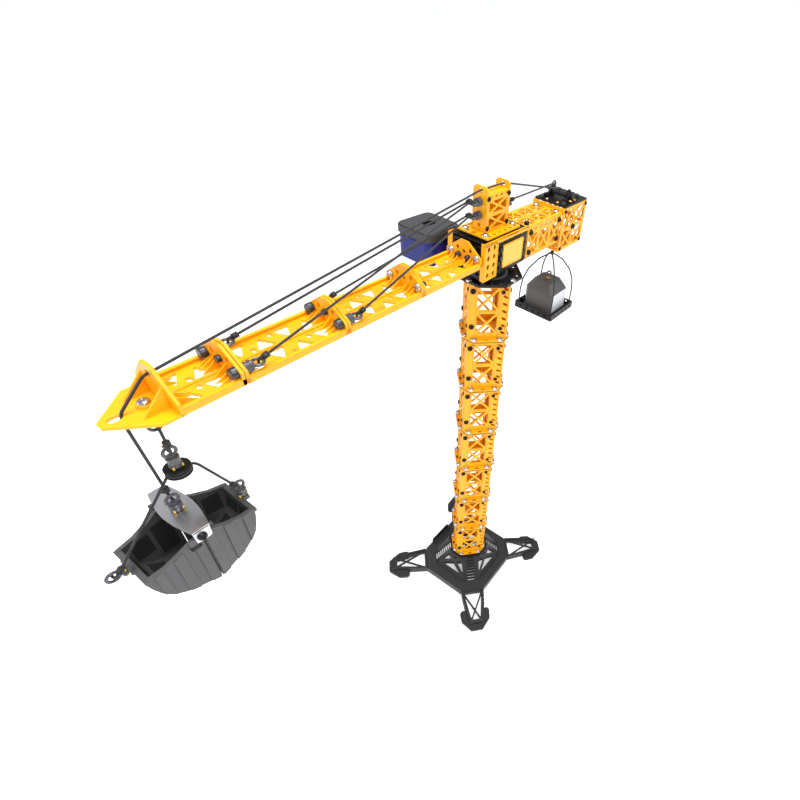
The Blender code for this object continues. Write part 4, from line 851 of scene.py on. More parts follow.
# ---- head -----------------------------------------------------------------------------------------
def cab():
    skin, inner_y, height = 1.6, CAB_Y - 1.2, CAB_TOP - CAB_FLOOR
    side = rectangle(-CAB_X, 0, CAB_X, height - 1.6)
    near_holes = hole_grid(-36, 14, 6, 37, 37, 1, 1.9, 12) + hole_grid(12.6, 12.6, 1, 5, 29, 3, 1.9, 12)
    far_holes = hole_grid(-35, 15, 6, 6, 36, 4, 2.1, 12)
    end_holes = hole_grid(-15, 15, 4, 6, 34, 4, 2.1, 12)
    walls = [
        plate(side, near_holes, 0, skin, upright(y=CAB_Y - 0.3, z=CAB_FLOOR)),
        plate(side, far_holes, 0, skin, upright(y=-CAB_Y + 0.3 + skin, z=CAB_FLOOR)),
    ]
    end = rectangle(-inner_y, 0, inner_y, height - 1.6)
    walls.append(plate(end, end_holes, 0, skin, upright(x=CAB_X - skin, z=CAB_FLOOR, turn=ACROSS)))
    walls.append(plate(end, end_holes, 0, skin, upright(x=-CAB_X, z=CAB_FLOOR, turn=ACROSS)))
    deck = rectangle(-CAB_X, -inner_y, CAB_X, inner_y)
    floor_holes = [hole for hole in hole_grid(-32, 32, 5, -16, 16, 3, 2, 12) if Vector(hole[0]).length > 24]
    walls.append(plate(deck, [disc(0, 0, 6), *floor_holes], CAB_FLOOR, CAB_FLOOR + skin))
    roof_low = CAB_TOP - 1.6 - skin
    walls.append(plate(deck, hole_grid(-36, 37.4, 2, -15, 15, 4, 1.9, 12), roof_low, roof_low + skin))
    for x in (-CAB_X, CAB_X - 2.4):
        walls.append(block((x, -inner_y, CAB_TOP - 4), (x + 2.4, inner_y, CAB_TOP - 1.8)))
    walls.append(turned([(4.4, 2.3), (21, 2.3), (21, 8), (19.5, 11), (4.4, 11)], (0, 0, TOWER_TOP), UP, 32))
    bracket_low = corners("motor_body")[1].y + 0.3
    for x in (7, 14):
        walls.append(block((x, bracket_low, CAB_FLOOR + 5), (x + 2, -inner_y, CAB_FLOOR + 18)))
    walls.append(block((6, bracket_low, CAB_FLOOR + 10), (16, -inner_y, CAB_FLOOR + 12)))
    put("cab_case", walls, BLACK, "head", ["cab_shell"])
    for name, sign in (("near", 1), ("far", -1)):
        outer, inner = sign * (CAB_Y + 1.7), sign * (CAB_Y + 0.3)
        holes = hole_grid(24.6, 34.8, 2, 6, height - 7, 4, 2.2, 14, 1.35, math.pi / 2)
        at = outer if sign > 0 else inner
        shapes = [plate(rectangle(18.8, 0, CAB_X + 2, height), holes, 0, 1.4, upright(y=at, z=CAB_FLOOR))]
        y0, y1 = sorted((sign * (CAB_Y - 1), outer))
        shapes.append(block((-CAB_X, y0, CAB_TOP - 1.2), (CAB_X + 2, y1, CAB_TOP)))
        y0, y1 = sorted((inner, outer))
        shapes.append(block((-CAB_X, y0, CAB_TOP - 4), (CAB_X + 2, y1, CAB_TOP)))
        y0, y1 = sorted((outer, sign * (CAB_Y - 3.5)))
        shapes.append(block((CAB_X + 0.3, y0, CAB_FLOOR), (CAB_X + 1.7, y1, CAB_TOP)))
        y0, y1 = sorted((outer, outer + sign * 0.5))
        shapes.append(block((18.8, y0, CAB_FLOOR + 0.4), (19.8, y1, CAB_TOP - 0.4)))
        shapes.append(block((CAB_X + 0.8, y0, CAB_FLOOR + 0.4), (CAB_X + 1.8, y1, CAB_TOP - 0.4)))
        put(f"cab_corner_{name}", shapes, YELLOW, "head", [f"cab_angle_{name}"])
    panel = rounded(rectangle(-31, 6, 8, 33), 2.2, 5)
    piece(
        "cab_panel",
        plate(panel, [], 0, 1.3, upright(y=CAB_Y + 1.6, z=CAB_FLOOR)),
        PANEL,
        "head",
        ["cab_sign"],
    )
    frame_line = plate(panel, [inset(panel, 1.2)], 0, 0.35, upright(y=CAB_Y + 1.9, z=CAB_FLOOR))
    piece("cab_panel_edge", frame_line, YELLOW, "head")
    nuts = []
    for x, z in ((-35, 5), (-35, 14), (-35, 23), (11.5, 9), (11.5, 19), (11.5, 29), (15.5, 5), (15.5, 14)):
        nuts.append(nut((x, CAB_Y - 0.3, CAB_FLOOR + z), NEAR, 2.9, 2.6))
    for x in (24.6, 34.8):
        nuts.append(screw_at("small", (x, -CAB_Y - 1.7, CAB_FLOOR + 21), FAR))
    put("cab_nuts", nuts, BLACK, "head", smooth=35)
    roof_holes = hole_grid(-22, 26, 6, -17.2, 17.2, 2, 1.7, 14, 1.6)
    roof_holes += hole_grid(29.5, 29.5, 1, -9, 9, 3, 1.6, 14, 1.4, math.pi / 2)
    outline = rounded(rectangle(-28, -20.6, 33, 20.6), 1.5)
    roof = plate(outline, roof_holes, CAB_TOP + 1, CAB_TOP + 3)
    piece("roof_plate", roof, YELLOW, "head", ["cab_roof"])
    piece("roof_seat", plate(outline, roof_holes, CAB_TOP + 0.3, CAB_TOP + 1), BLACK, "head")
    screws = [
        screw_at("silver", (x, y, CAB_TOP + 3), UP)
        for x, y in ((27.5, 13.5), (-24, 12), (27.5, -13.5), (-24, -12))
    ]
    put("roof_screws", screws, STEEL, "head", smooth=35)


def mast():
    foot, skin, top, cut = CAB_TOP + 3.3, 2.0, MAST_TOP, 3.0
    wall = [(-MAST_Y, foot), (MAST_Y, foot), (MAST_Y, top - cut), (MAST_Y - cut, top)]
    wall += [(cut - MAST_Y, top), (-MAST_Y, top - cut)]
    end_holes = [disc(0, foot + 6, 2), disc(0, top - 4.4, 2.3, 20, 1.35)]
    shapes = [
        plate(rounded(wall, 1), end_holes, 0, skin, upright(x=MAST_FRONT - skin, turn=ACROSS)),
        plate(rounded(wall, 1), end_holes, 0, skin, upright(x=MAST_BACK, turn=ACROSS)),
    ]
    head = top - 7.5
    side = rectangle(MAST_BACK + 1, foot, MAST_FRONT - 1, head)
    middle = (foot + head - 4.5) / 2
    holes = []
    for low, high in ((foot + 1, middle - 0.7), (middle + 0.7, head - 6)):
        holes += cross_braces(rectangle(MAST_BACK + 3.6, low, MAST_FRONT - 3.6, high), 2.2)
    holes += hole_grid(MAST_BACK + 6, MAST_FRONT - 6, 4, head - 2.8, head - 2.8, 1, 1.3, 12, 1.6)
    shapes.append(plate(side, holes, 0, skin, upright(y=MAST_Y - 0.01)))
    shapes.append(plate(side, holes, 0, skin, upright(y=-MAST_Y + skin + 0.01)))
    cap = rectangle(MAST_BACK + 1, -MAST_Y + 0.6, MAST_FRONT - 1, MAST_Y - 0.6)
    shapes.append(plate(cap, [], head - skin, head - 0.1))
    for x in (MAST_BACK - 0.4, MAST_FRONT - 0.4):
        for y in (-MAST_Y + 0.2, MAST_Y - 1.2):
            shapes.append(block((x, y, foot + 0.5), (x + 0.8, y + 1, top - cut)))
    for x in (MAST_BACK, MAST_FRONT - 5):
        shapes.append(block((x, -MAST_Y - 2, foot - 0.1), (x + 5, MAST_Y + 2, foot + 1.4)))
    put("mast_frame", shapes, YELLOW, "head", ["mast"])
    screws = []
    for way in (1, -1):
        for x in (MAST_BACK + 2.4, MAST_FRONT - 2.4):
            screws += [screw_at("small", (x, way * MAST_Y, z), (0, way, 0)) for z in (foot + 4, head - 4)]
    put("mast_screws", screws, BLACK, "head", smooth=35)


def eyebolt(name, base, axis, flat, body, shank=8.0, neck=0.0):
    """A moulded round nut with a waisted body, and the wire ring that stands on it."""
    base, axis = Vector(base), Vector(axis).normalized()
    start = 0.3 + neck
    profile = [(0.01, start), (3.9, start), (4.4, start + 0.5), (4.4, start + 2.2), (3.9, start + 2.6)]
    profile += [(3.9, start + shank - 2.4), (4.4, start + shank - 2.0), (4.4, start + shank - 0.5)]
    profile += [(3.8, start + shank), (0.01, start + shank)]
    shapes = [turned(profile, base, axis, 20)]
    if neck:
        shapes.append(turned([(0.01, 0.3), (2, 0.3), (2, start + 1), (0.01, start + 1)], base, axis, 12))
    centre = base + axis * (start + shank + 4.3)
    shapes.append(torus(centre, flat, 4.15, 1.2, 28, 10))
    stem = turned(
        [(0.01, -0.4), (1.9, -0.4), (1.3, 1.3), (0.01, 1.4)], base + axis * (start + shank), axis, 12
    )
    shapes.append(stem)
    put(f"{name}_bolt", shapes, GREY, body, [name], 35)
    if body == "head":
        return
    across = axis.cross(Vector(flat)).normalized()
    marks = []
    for way in (Vector(flat) + across, Vector(flat) - across, -Vector(flat)):
        spot = base + axis * (start + 0.3) + way.normalized() * 4.15
        marks.append(turned([(0.01, 0), (0.9, 0), (0.9, 1.9), (0.01, 2.1)], spot, axis, 8))
    put(f"{name}_marks", marks, MARK, body)


def eyebolts():
    eyebolt("mast_eye_upper", (MAST_FRONT, 0, 703), AHEAD, UP, "head", 6)
    eyebolt("mast_eye_lower", (MAST_FRONT, 0, 689), AHEAD, UP, "head", 6)
    eyebolt("mast_eye_back", (MAST_BACK, 0, 690), BACK, UP, "head", 6)
    eyebolt("nose_eye", (NOSE_EYE_X, 0, JIB_FLOOR - 2), DOWN, NEAR, "head", 10.5)
    eyebolt("winch_eye", (-166.5, -20.6, BOX_HIGH + 2.3), UP, NEAR, "head", 4)
    eyebolt("bucket_eye_middle", (BUCKET_X, 0, PIVOT_Z + 7.5), UP, NEAR, "grab", 6.5)
    eyebolt("pulley_eye", (NOSE_EYE_X, 0, PULLEY_Z + 3.2), UP, NEAR, "pulley", 10)
    eyebolt("bucket_eye_front", (BUCKET_X + 42.6, 0, PIVOT_Z - 17.4), AHEAD, NEAR, "jaw_front", 3.5)
    eyebolt("bucket_eye_back", (BUCKET_X - 43, 0, PIVOT_Z - 18), UP, NEAR, "jaw_back", 7)
    nuts = []
    for place, x in (("outer", JIB_START + 3 * JIB_PITCH), ("inner", JIB_START + 2 * JIB_PITCH)):
        for side, sign in (("near", 1), ("far", -1)):
            at = (x - 2.4, sign * 17.5, JIB_FLOOR + 7)
            eyebolt(f"jib_eye_{place}_{side}", at, BACK, UP, "head", 6)
            nuts.append(nut((x + 2.2, sign * 17.5, JIB_FLOOR + 7), AHEAD, 4.2, 5))
        nuts.append(nut((x + 2.2, 0, JIB_FLOOR + 10), AHEAD, 2.8, 3))
    put("jib_nuts", nuts, NUT, "head", smooth=35)


# ---- jib ------------------------------------------------------------------------------------------
def gable(x, foot_half, peak, side, holes):
    rim = JIB_FLOOR - 2
    outline = [(-foot_half, rim), (foot_half, rim), (foot_half, JIB_FLOOR + 8), (5, JIB_FLOOR + peak)]
    outline += [(-5, JIB_FLOOR + peak), (-foot_half, JIB_FLOOR + 8)]
    at = x if side < 0 else x + 1.9
    wall = plate(outline, holes, 0, 1.9, upright(x=at - 1.9, turn=ACROSS))
    step = at - 2.3 if side < 0 else at - 0.1
    ridge = plate(outline, [inset(outline, 1.1)], 0, 0.5, upright(x=step, turn=ACROSS))
    return [wall, ridge]


def floor_openings(start, span):
    """Triangles between diagonal bars, with small ovals at their corners."""
    count = max(2, round((span - 9) / 19))
    step = (span - 9) / count
    inner, outer = 1.6, JIB_HALF - 3.2
    holes = []
    for index in range(count):
        x0, x1 = start + 4.5 + index * step, start + 4.5 + (index + 1) * step
        middle = (x0 + x1) / 2
        for sign in (1, -1):
            low, high = (inner, outer) if index % 2 == 0 else (outer, inner)
            main = [(x0, sign * low), (x1, sign * low), (middle, sign * high)]
            if (main[1][0] - main[0][0]) * (main[2][1] - main[0][1]) < 0:
                main = [main[1], main[0], main[2]]
            holes.append(rounded(inset(main, 1.3), 1))
            holes.append(disc(x0 + 0.4, sign * (high * 0.78 + low * 0.22), 2.0, 12, 1.5, ACROSS))
    return holes


def fans(x, way, ys, rise=9.0, reach=12.0):
    shapes = []
    for y in ys:
        wedge = [(0, JIB_FLOOR - 1), (way * reach, JIB_FLOOR - 1), (0, JIB_FLOOR + rise - abs(y) * 0.25)]
        if way < 0:
            wedge.reverse()
        shapes.append(prism(wedge, -0.6, 0.6, upright(x=x, y=y)))
    return shapes


def jib_segment(number):
    start = JIB_START + (number - 1) * JIB_PITCH + (0.3 if number > 1 else 0)
    end = JIB_START + number * JIB_PITCH - 0.3 if number < 4 else NOSE_GABLE
    low, high = JIB_FLOOR - 2.4, JIB_FLOOR
    outline = rectangle(start, -JIB_HALF + 1, end, JIB_HALF - 1)
    shapes = [plate(outline, floor_openings(start, end - start), low, high)]
    for sign in (1, -1):
        y0, y1 = sorted((sign * JIB_HALF, sign * (JIB_HALF - 2.2)))
        shapes.append(block((start, y0, low), (end, y1, low + 5)))
        y0, y1 = sorted((sign * (JIB_HALF - 0.1), sign * (JIB_HALF - 3.2)))
        shapes.append(block((start + 1, y0, low + 4.4), (end - 1, y1, low + 5.4)))
    shapes.append(block((start, -1.1, low), (end, 1.1, high + 1.2)))
    holes = [disc(17.5, JIB_FLOOR + 7, 2), disc(-17.5, JIB_FLOOR + 7, 2), disc(0, JIB_FLOOR + 10, 2)]
    holes += [disc(sign * 8.5, JIB_FLOOR + 12.5, 1.7, 12, 1.5, ACROSS) for sign in (1, -1)]
    shapes += gable(start, JIB_HALF, 22, 1, holes)
    shapes += fans(start + 1.8, 1, (-14, -10, -5, 5, 10, 14))
    if number < 4:
        shapes += gable(end, JIB_HALF, 22, -1, holes)
        shapes += fans(end - 1.8, -1, (-14, -10, -5, 5, 10, 14))
    else:
        shapes += gable(NOSE_GABLE, JIB_HALF + 1, 28, -1, [disc(0, JIB_FLOOR + 20.5, 2.6)])
        shapes += fans(NOSE_GABLE - 1.8, -1, (-15, -9, 9, 15), 12, 14)
        shapes += nose()
    put(f"jib_part_{number}", shapes, YELLOW, "head", [f"jib_segment_{number}"])


def nose():
    full = JIB_HALF + 1
    outline = [(NOSE_GABLE - 1, -full), (NOSE_GABLE + 11, -full), (NOSE_TIP, -3), (NOSE_TIP, 3)]
    outline += [(NOSE_GABLE + 11, full), (NOSE_GABLE - 1, full)]
    holes = [disc(NOSE_EYE_X, 0, 2), disc(NOSE_HOLE_X, 0, 3, 20, 1.5)]
    shapes = [plate(outline, holes, JIB_FLOOR - 2, JIB_FLOOR)]
    for y in (-12, 12):
        fin = [(0, JIB_FLOOR - 1), (17, JIB_FLOOR - 1), (0, JIB_FLOOR + 17)]
        shapes.append(prism(fin, -0.8, 0.8, upright(x=NOSE_GABLE - 0.5, y=y)))
    shapes.append(
        turned([(2.1, -0.1), (5, -0.1), (4.6, 2.2), (2.1, 2.2)], (NOSE_EYE_X, 0, JIB_FLOOR), UP, 24)
    )
    return shapes


def jib_screws():
    silver, grey = [], []
    for y in (-17, 17):
        silver.append(screw_at("silver", (JIB_START + 2.0, y, JIB_FLOOR + 7), AHEAD))
    for y in (-6.5, 6.5):
        grey.append(nut((JIB_START + 2.0, y, JIB_FLOOR + 5), AHEAD, 3.2, 4))
    silver.append(screw_at("silver", (NOSE_EYE_X, 0, JIB_FLOOR + 2.2), UP))
    for y in (-17.5, 17.5):
        silver.append(screw_at("silver", (JIB_START + JIB_PITCH + 2.4, y, JIB_FLOOR + 7), AHEAD))
        grey.append(nut((JIB_START + JIB_PITCH - 2.4, y, JIB_FLOOR + 7), BACK, 3.4, 4))
    put("jib_silver_screws", silver, STEEL, "head", smooth=35)
    put("jib_grey_nuts", grey, NUT, "head", smooth=35)


# ---- counter-jib, box and winch ---------------------------------------------------------------------
def counter_jib():
    skin, low, high = 1.8, COUNTER_LOW, COUNTER_HIGH
    x0, x1 = BOX_NEAR_X - 0.3, COUNTER_START
    cells = 3
    step = (x1 - x0) / cells
    deck_holes, side_holes, floor_holes = [], [], []
    for index in range(cells):
        a, b = x0 + index * step + 1.2, x0 + (index + 1) * step - 1.2
        for sign in (1, -1):
            y0, y1 = sorted((sign * 1.2, sign * (COUNTER_HALF - 3)))
            deck_holes += cross_braces(rectangle(a, y0, b, y1), 2)
        side_holes += cross_braces(rectangle(a, low + 3, b, high - 10), 2.4)
        floor_holes.append([(x0 + (index + 0.5) * step + u, v) for u, v in octagon(9, 5)])
    side_holes += hole_grid(x0 + 6, x1 - 6, 7, high - 5.5, high - 5.5, 1, 1.6, 12, 1.8)
    outline = rectangle(x0, -COUNTER_HALF, x1, COUNTER_HALF)
    shapes = [plate(outline, deck_holes, high - skin, high), plate(outline, floor_holes, low, low + skin)]
    side = rectangle(x0, low + 0.2, x1, high - 0.2)
    shapes.append(plate(side, side_holes, 0, skin, upright(y=COUNTER_HALF)))
    shapes.append(plate(side, side_holes, 0, skin, upright(y=-COUNTER_HALF + skin)))
    rear = rectangle(-COUNTER_HALF + 0.5, low + 0.5, COUNTER_HALF - 0.5, high - 0.5)
    hole = [[(u, v + (low + high) / 2) for u, v in octagon(14, 9)]]
    shapes.append(plate(rear, hole, 0, skin, upright(x=COUNTER_START - skin, turn=ACROSS)))
    for y in (-COUNTER_HALF - 0.4, COUNTER_HALF - 0.2):
        for z in (low + 0.2, high - 1.4):
            shapes.append(block((x0 + 0.5, y, z), (x1 - 0.5, y + 0.6, z + 1.2)))
    put("counter_arm", shapes, YELLOW, "head", ["counter_jib"])
    silver, black = [], []
    for y in (-15, 15):
        silver.append(screw_at("silver", (x0 + 5, y, high), UP))
        black.append(nut((x1 - 5, y, high), UP, 3.2, 3.4))
    for x in (x0 + 6, x1 - 6):
        for z in (low + 7, high - 8):
            black.append(screw_at("black", (x, COUNTER_HALF, z), NEAR))
            black.append(screw_at("black", (x, -COUNTER_HALF, z), FAR))
    put("counter_silver_screws", silver, STEEL, "head", smooth=35)
    put("counter_black_screws", black, BLACK, "head", smooth=35)


def counter_box():
    skin, low, high = 1.8, BOX_LOW, BOX_HIGH
    x0, x1 = BOX_FAR_X, BOX_NEAR_X - 0.6
    xm, zm = (x0 + x1) / 2, (low + high) / 2
    side_holes, end_holes = [], []
    for a, b in ((x0 + 3, xm - 1), (xm + 1, x1 - 3)):
        for c, d in ((low + 3, zm - 1), (zm + 1, high - 3)):
            side_holes += cross_braces(rectangle(a, c, b, d), 2.2)
    for a, b in ((-BOX_HALF + 3, -1), (1, BOX_HALF - 3)):
        for c, d in ((low + 3, zm - 1), (zm + 1, high - 3)):
            end_holes += cross_braces(rectangle(a, c, b, d), 2.2)
    side = rectangle(x0, low, x1, high)
    shapes = [
        plate(side, side_holes, 0, skin, upright(y=BOX_HALF)),
        plate(side, side_holes, 0, skin, upright(y=-BOX_HALF + skin)),
    ]
    end = rectangle(-BOX_HALF + 0.5, low + 0.1, BOX_HALF - 0.5, high - 0.1)
    shapes.append(plate(end, end_holes, 0, skin, upright(x=x0 + 0.1, turn=ACROSS)))
    for y in (-BOX_HALF, BOX_HALF - 0.5):
        shapes.append(prism(disc(xm, zm, 4.2, 16), 0, 0.5, upright(y=y + 0.5)))
    floor = rectangle(x0 + 0.5, -BOX_HALF + 0.6, x1 - 0.2, BOX_HALF - 0.6)
    grid = hole_grid(x0 + 9, x1 - 9, 5, -15, 15, 4, 2.2, 12)
    grid = [hole for hole in grid if abs(hole[0][0] - WEIGHT_X) > 8 or abs(hole[0][1]) > 8]
    shapes.append(plate(floor, grid, low + 0.2, low + skin))
    beam = rectangle(-BOX_HALF + 0.6, high - 5, BOX_HALF - 0.6, high - 0.3)
    shapes.append(plate(beam, [], 0, skin, upright(x=x1 - skin - 0.3, turn=ACROSS)))
    for x in (x0, x1 - 5):
        for y in (-BOX_HALF + 0.3, BOX_HALF - 5.3):
            shapes.append(block((x + 0.2, y, high - 1.6), (x + 4.8, y + 5, high)))
    put("counter_box_frame", shapes, YELLOW, "head", ["counter_box"])
    black = [screw_at("black", (xm, BOX_HALF, zm), NEAR), screw_at("black", (xm, -BOX_HALF, zm), FAR)]
    for x in (x0 + 4, x1 - 4):
        for z in (low + 4, high - 4):
            black.append(screw_at("small", (x, BOX_HALF, z), NEAR))
            black.append(screw_at("small", (x, -BOX_HALF, z), FAR))
    put("counter_box_screws", black, BLACK, "head", smooth=35)
    profile = [(0.01, 1), (4.4, 1), (4.4, -0.6), (3.9, -1), (3.9, -2), (3.4, -2.4), (0.01, -2.4)]
    shapes = [turned(profile, (WEIGHT_X, 0, low), UP, 20), torus((WEIGHT_X, 0, WEIGHT_EYE_Z), NEAR, 4.1, 1.1)]
    put("weight_eye_bolt", shapes, GREY, "head", smooth=35)


def winch():
    low, x = BOX_HIGH + 0.3, -150
    deck = rounded(rectangle(BOX_FAR_X + 0.5, -BOX_HALF + 0.5, BOX_NEAR_X - 3.5, BOX_HALF - 0.5), 1.5)
    holes = hole_grid(BOX_FAR_X + 7, BOX_NEAR_X - 8, 6, 19.5, 19.5, 1, 1.9, 12)
    shapes = [plate(deck, holes, low, low + 2)]
    shapes.append(plate(deck, [inset(deck, 1.2)], low + 1.8, low + 3))
    axle_z = low + 9.5
    for sign in (1, -1):
        y0, y1 = sorted((sign * 13, sign * 15.5))
        cheek = rounded([(-7, 0), (7, 0), (4, 12.6), (-4, 12.6)], 1.6)
        stand = upright(x=x, y=y1, z=low + 1)
        shapes.append(plate(cheek, [disc(0, axle_z - low - 1, 2.4, 16)], 0, y1 - y0, stand))
        y0, y1 = sorted((sign * 15, sign * (21 if sign > 0 else 18)))
        shapes.append(block((x - 8, y0, low + 1.8), (x + 8, y1, low + 3.6)))
    for y in (-14, 14):
        shapes.append(block((x + 11, y - 2, low + 1.8), (x + 15, y + 2, low + 7)))
    put("winch_bed", shapes, BLACK, "head", ["winch_plate"])
    drum = [rod(2, 40, (x, -20, axle_z), NEAR, 16)]
    for y in (-12.6, 10.8):
        drum.append(
            turned(
                [(0.01, 0), (6.2, 0), (6.6, 0.4), (6.6, 1.4), (6.2, 1.8), (0.01, 1.8)], (x, y, axle_z), NEAR, 28
            )
        )
    drum.append(
        turned([(0.01, 0), (4.6, 0), (5, 0.5), (5, 3.5), (4.4, 4), (0.01, 4)], (x, 16, axle_z), NEAR, 12)
    )
    put("winch_axle", drum, BLACK, "winch", ["winch_drum"], 35)
    wraps = [torus((x, -9.4 + 1.9 * turn, axle_z), NEAR, 3.9, 0.95, 24, 8) for turn in range(11)]
    put("winch_wraps", wraps, ROPE, "winch", smooth=40)
    gold, grey = [], []
    for px, py in ((x - 5, 18.5), (x + 5, 18.5), (x + 19, 8), (x + 19, -8), (x - 24, 3), (x - 24, -9)):
        gold.append(screw_at("small", (px, py, low + (3.6 if abs(py) > 18 else 2)), UP))
    for px, py in ((BOX_FAR_X + 9, 12), (BOX_NEAR_X - 9, 17), (BOX_NEAR_X - 9, -16), (BOX_FAR_X + 8, -17)):
        grey.append(nut((px, py, low + 2), UP, 3, 3.4))
    put("winch_screws", gold, BRASS, "head", smooth=35)
    put("winch_nuts", grey, NUT, "head", smooth=35)


def motor():
    (x0, y0, z0), (x1, y1, z1) = corners("motor_body")[0], corners("motor_lid")[1]
    lid_low, lid_high = corners("motor_lid")
    split = lid_low.z
    x1, y1 = corners("motor_body")[1].x, corners("motor_body")[1].y
    outline = rounded(rectangle(x0, y0, x1, y1), 9, 7)
    body = prism(outline, z0 + 1.2, split - 0.3)
    foot = prism(inset(outline, 1.2), z0, z0 + 1.3)
    seam = plate(outline, [inset(outline, 0.8)], split - 3.4, split - 2.8)
    ribs = []
    for index in range(6):
        z = z0 + 5 + index * 3
        ribs.append(block((x0 + 10, y0 - 0.35, z), (x1 - 10, y0 + 0.3, z + 1.4)))
    put("motor_case", [body, foot, seam, *ribs], BLUE, "head", ["motor_body"])
    lid_outline = rounded(rectangle(lid_low.x, lid_low.y, lid_high.x, lid_high.y), 10, 7)
    mid = (lid_low + lid_high) / 2
    well = rounded(rectangle(mid.x - 6, mid.y - 3.5, mid.x + 6, mid.y + 3.5), 1)
    lid = plate(lid_outline, [well], split, z1 - 1.6)
    crown = plate(inset(lid_outline, 1.3), [well], z1 - 1.7, z1)
    floor = prism(inset(lid_outline, 2), split + 0.4, z1 - 3.4)
    bezel = plate(inset(well, -1.4), [well], z1 - 0.6, z1 + 0)
    put("motor_cover", [lid, crown, floor, bezel], LID, "head", ["motor_lid"])
    low, high = corners("motor_switch")
    knob = [block((low.x, low.y, low.z), (high.x, high.y, high.z - 0.9))]
    for index in range(3):
        at = low.x + 0.4 + index * 1.25
        knob.append(block((at, low.y + 0.3, high.z - 1), (at + 0.7, high.y - 0.3, high.z)))
    put("motor_slider", knob, BLACK, "switch", ["motor_switch"])
    screws = [
        screw_at("small", (mid.x + u * 20, mid.y + v * 19, z1 - 0.1), UP) for u in (1, -1) for v in (1, -1)
    ]
    for screw in screws:
        screw.data.transform(Matrix.Translation((0, 0, -1.9)))
    put("motor_screws", screws, STEEL, "head", smooth=35)


def counterweight():
    x, z, half = WEIGHT_X, TRAY_Z, TRAY_HALF
    rim = [(x + u, v) for u, v in octagon(half, half - 1.5)]
    grid = hole_grid(x - 24, x + 24, 2, -20, 20, 5, 1.9, 12)
    shapes = [plate(rim, grid, z, z + 2)]
    corner_fittings = []
    for step in range(4):
        spin = Matrix.Translation((x, 0, 0)) @ quarter(step)
        row = hole_grid(-21, 21, 5, z + 5.4, z + 5.4, 1, 1.8, 12)
        side = rectangle(-half + 1, z, half - 1, z + 9)
        shapes.append(plate(side, row, 0, 1.6, spin @ upright(y=-half + 1.7)))
        at = spin @ Vector((28.2, 28.2, z + 2))
        corner_fittings.append(turned([(1.2, 0), (3.3, 0), (3.3, 2.6), (2.4, 3.4), (1.2, 3.4)], at, UP, 14))
    put("tray", [*shapes, *corner_fittings], BLACK, "weight", ["weight_tray"])
    foot, shoulder, top = z + 2.3, z + 34, z + 47
    wide, corner = 24.5, 18.5
    low = prism([(x + u, v) for u, v in octagon(wide, corner)], foot, foot + 2.4)
    body = hull(
        [(x + u, v, foot + 2) for u, v in octagon(wide - 0.8, corner - 0.4)]
        + [(x + u, v, shoulder) for u, v in octagon(wide - 0.8, corner - 0.4)]
        + [(x + u, v, top) for u, v in octagon(15.5, 11.5)]
    )
    put("block", [low, body], WEIGHT, "weight", ["weight_block"])
    label = rounded(rectangle(-corner + 0.6, foot + 3, corner - 0.6, shoulder - 0.6), 0.8)
    panel = plate(label, [], 0, 0.5, upright(x=x, y=wide - 0.4))
    piece("block_label", panel, LABEL, "weight")
    profile = [(0.01, 0.3), (4.2, 0.3), (4.2, 1.2), (3.5, 1.6), (3.5, 2.6), (2.9, 3.2), (0.01, 3.2)]
    collar = turned(profile, (x, 0, top), UP, 24)
    loop = torus((x, 0, top + 7.2), (0.5, 1, 0), 4.1, 1.2, 28, 10)
    piece("block_collar", collar, BRASS, "weight", ["weight_ring"], 35)
    piece("block_loop", loop, GREY, "weight", smooth=40)


# ---- bucket ---------------------------------------------------------------------------------------
LIP_REACH, LIP_HALF, PIVOT_HALF = 40, 20, 24


def scoop(side, sign, inset_y):
    """A closed solid: an outline in the XZ plane, spread sideways less at the lip than at the pivot."""
    bm = bmesh.new()
    loops = []
    for way in (1, -1):
        loop = []
        for u, v in side:
            reach = PIVOT_HALF + (LIP_HALF - PIVOT_HALF) * max(0.0, u) / LIP_REACH - inset_y
            loop.append(bm.verts.new((BUCKET_X + sign * u, way * reach, PIVOT_Z + v)))
        loops.append(loop)
    bm.faces.new(loops[0])
    bm.faces.new(list(reversed(loops[1])))
    for index in range(len(side)):
        after = (index + 1) % len(side)
        bm.faces.new([loops[0][index], loops[1][index], loops[1][after], loops[0][after]])
    return tool_from(bm)


def bowl(shrink=0.0, steps=5):
    """The jaw's back and bottom as a smooth line from the lip down to the seam."""
    keys = [(40, -18), (39.4, -28), (34.6, -43), (22.4, -54.4), (0.35, -61)]
    points = []
    for index in range(len(keys) - 1):
        p0 = Vector(keys[max(index - 1, 0)])
        p1, p2 = Vector(keys[index]), Vector(keys[index + 1])
        p3 = Vector(keys[min(index + 2, len(keys) - 1)])
        for step in range(steps):
            t = step / steps
            point = p1 * 2 + (p2 - p0) * t + (p0 * 2 - p1 * 5 + p2 * 4 - p3) * t * t
            point += (p1 * 3 - p0 - p2 * 3 + p3) * t * t * t
            points.append(point / 2)
    points.append(Vector(keys[-1]))
    moved = []
    for index, point in enumerate(points):
        along = points[min(index + 1, len(points) - 1)] - points[max(index - 1, 0)]
        normal = Vector((-along.y, along.x)).normalized()
        moved.append(tuple(point + normal * shrink))
    return moved


BATTENS = ((1.2, 7.6), (15, 22), (29.5, 35.5))


def height_on(line, u):
    """The height of a falling or rising line of points at a distance u from the pivot."""
    for (u0, v0), (u1, v1) in zip(line, line[1:]):
        if min(u0, u1) <= u <= max(u0, u1) and u0 != u1:
            return v0 + (v1 - v0) * (u - u0) / (u1 - u0)
    return line[-1][1]


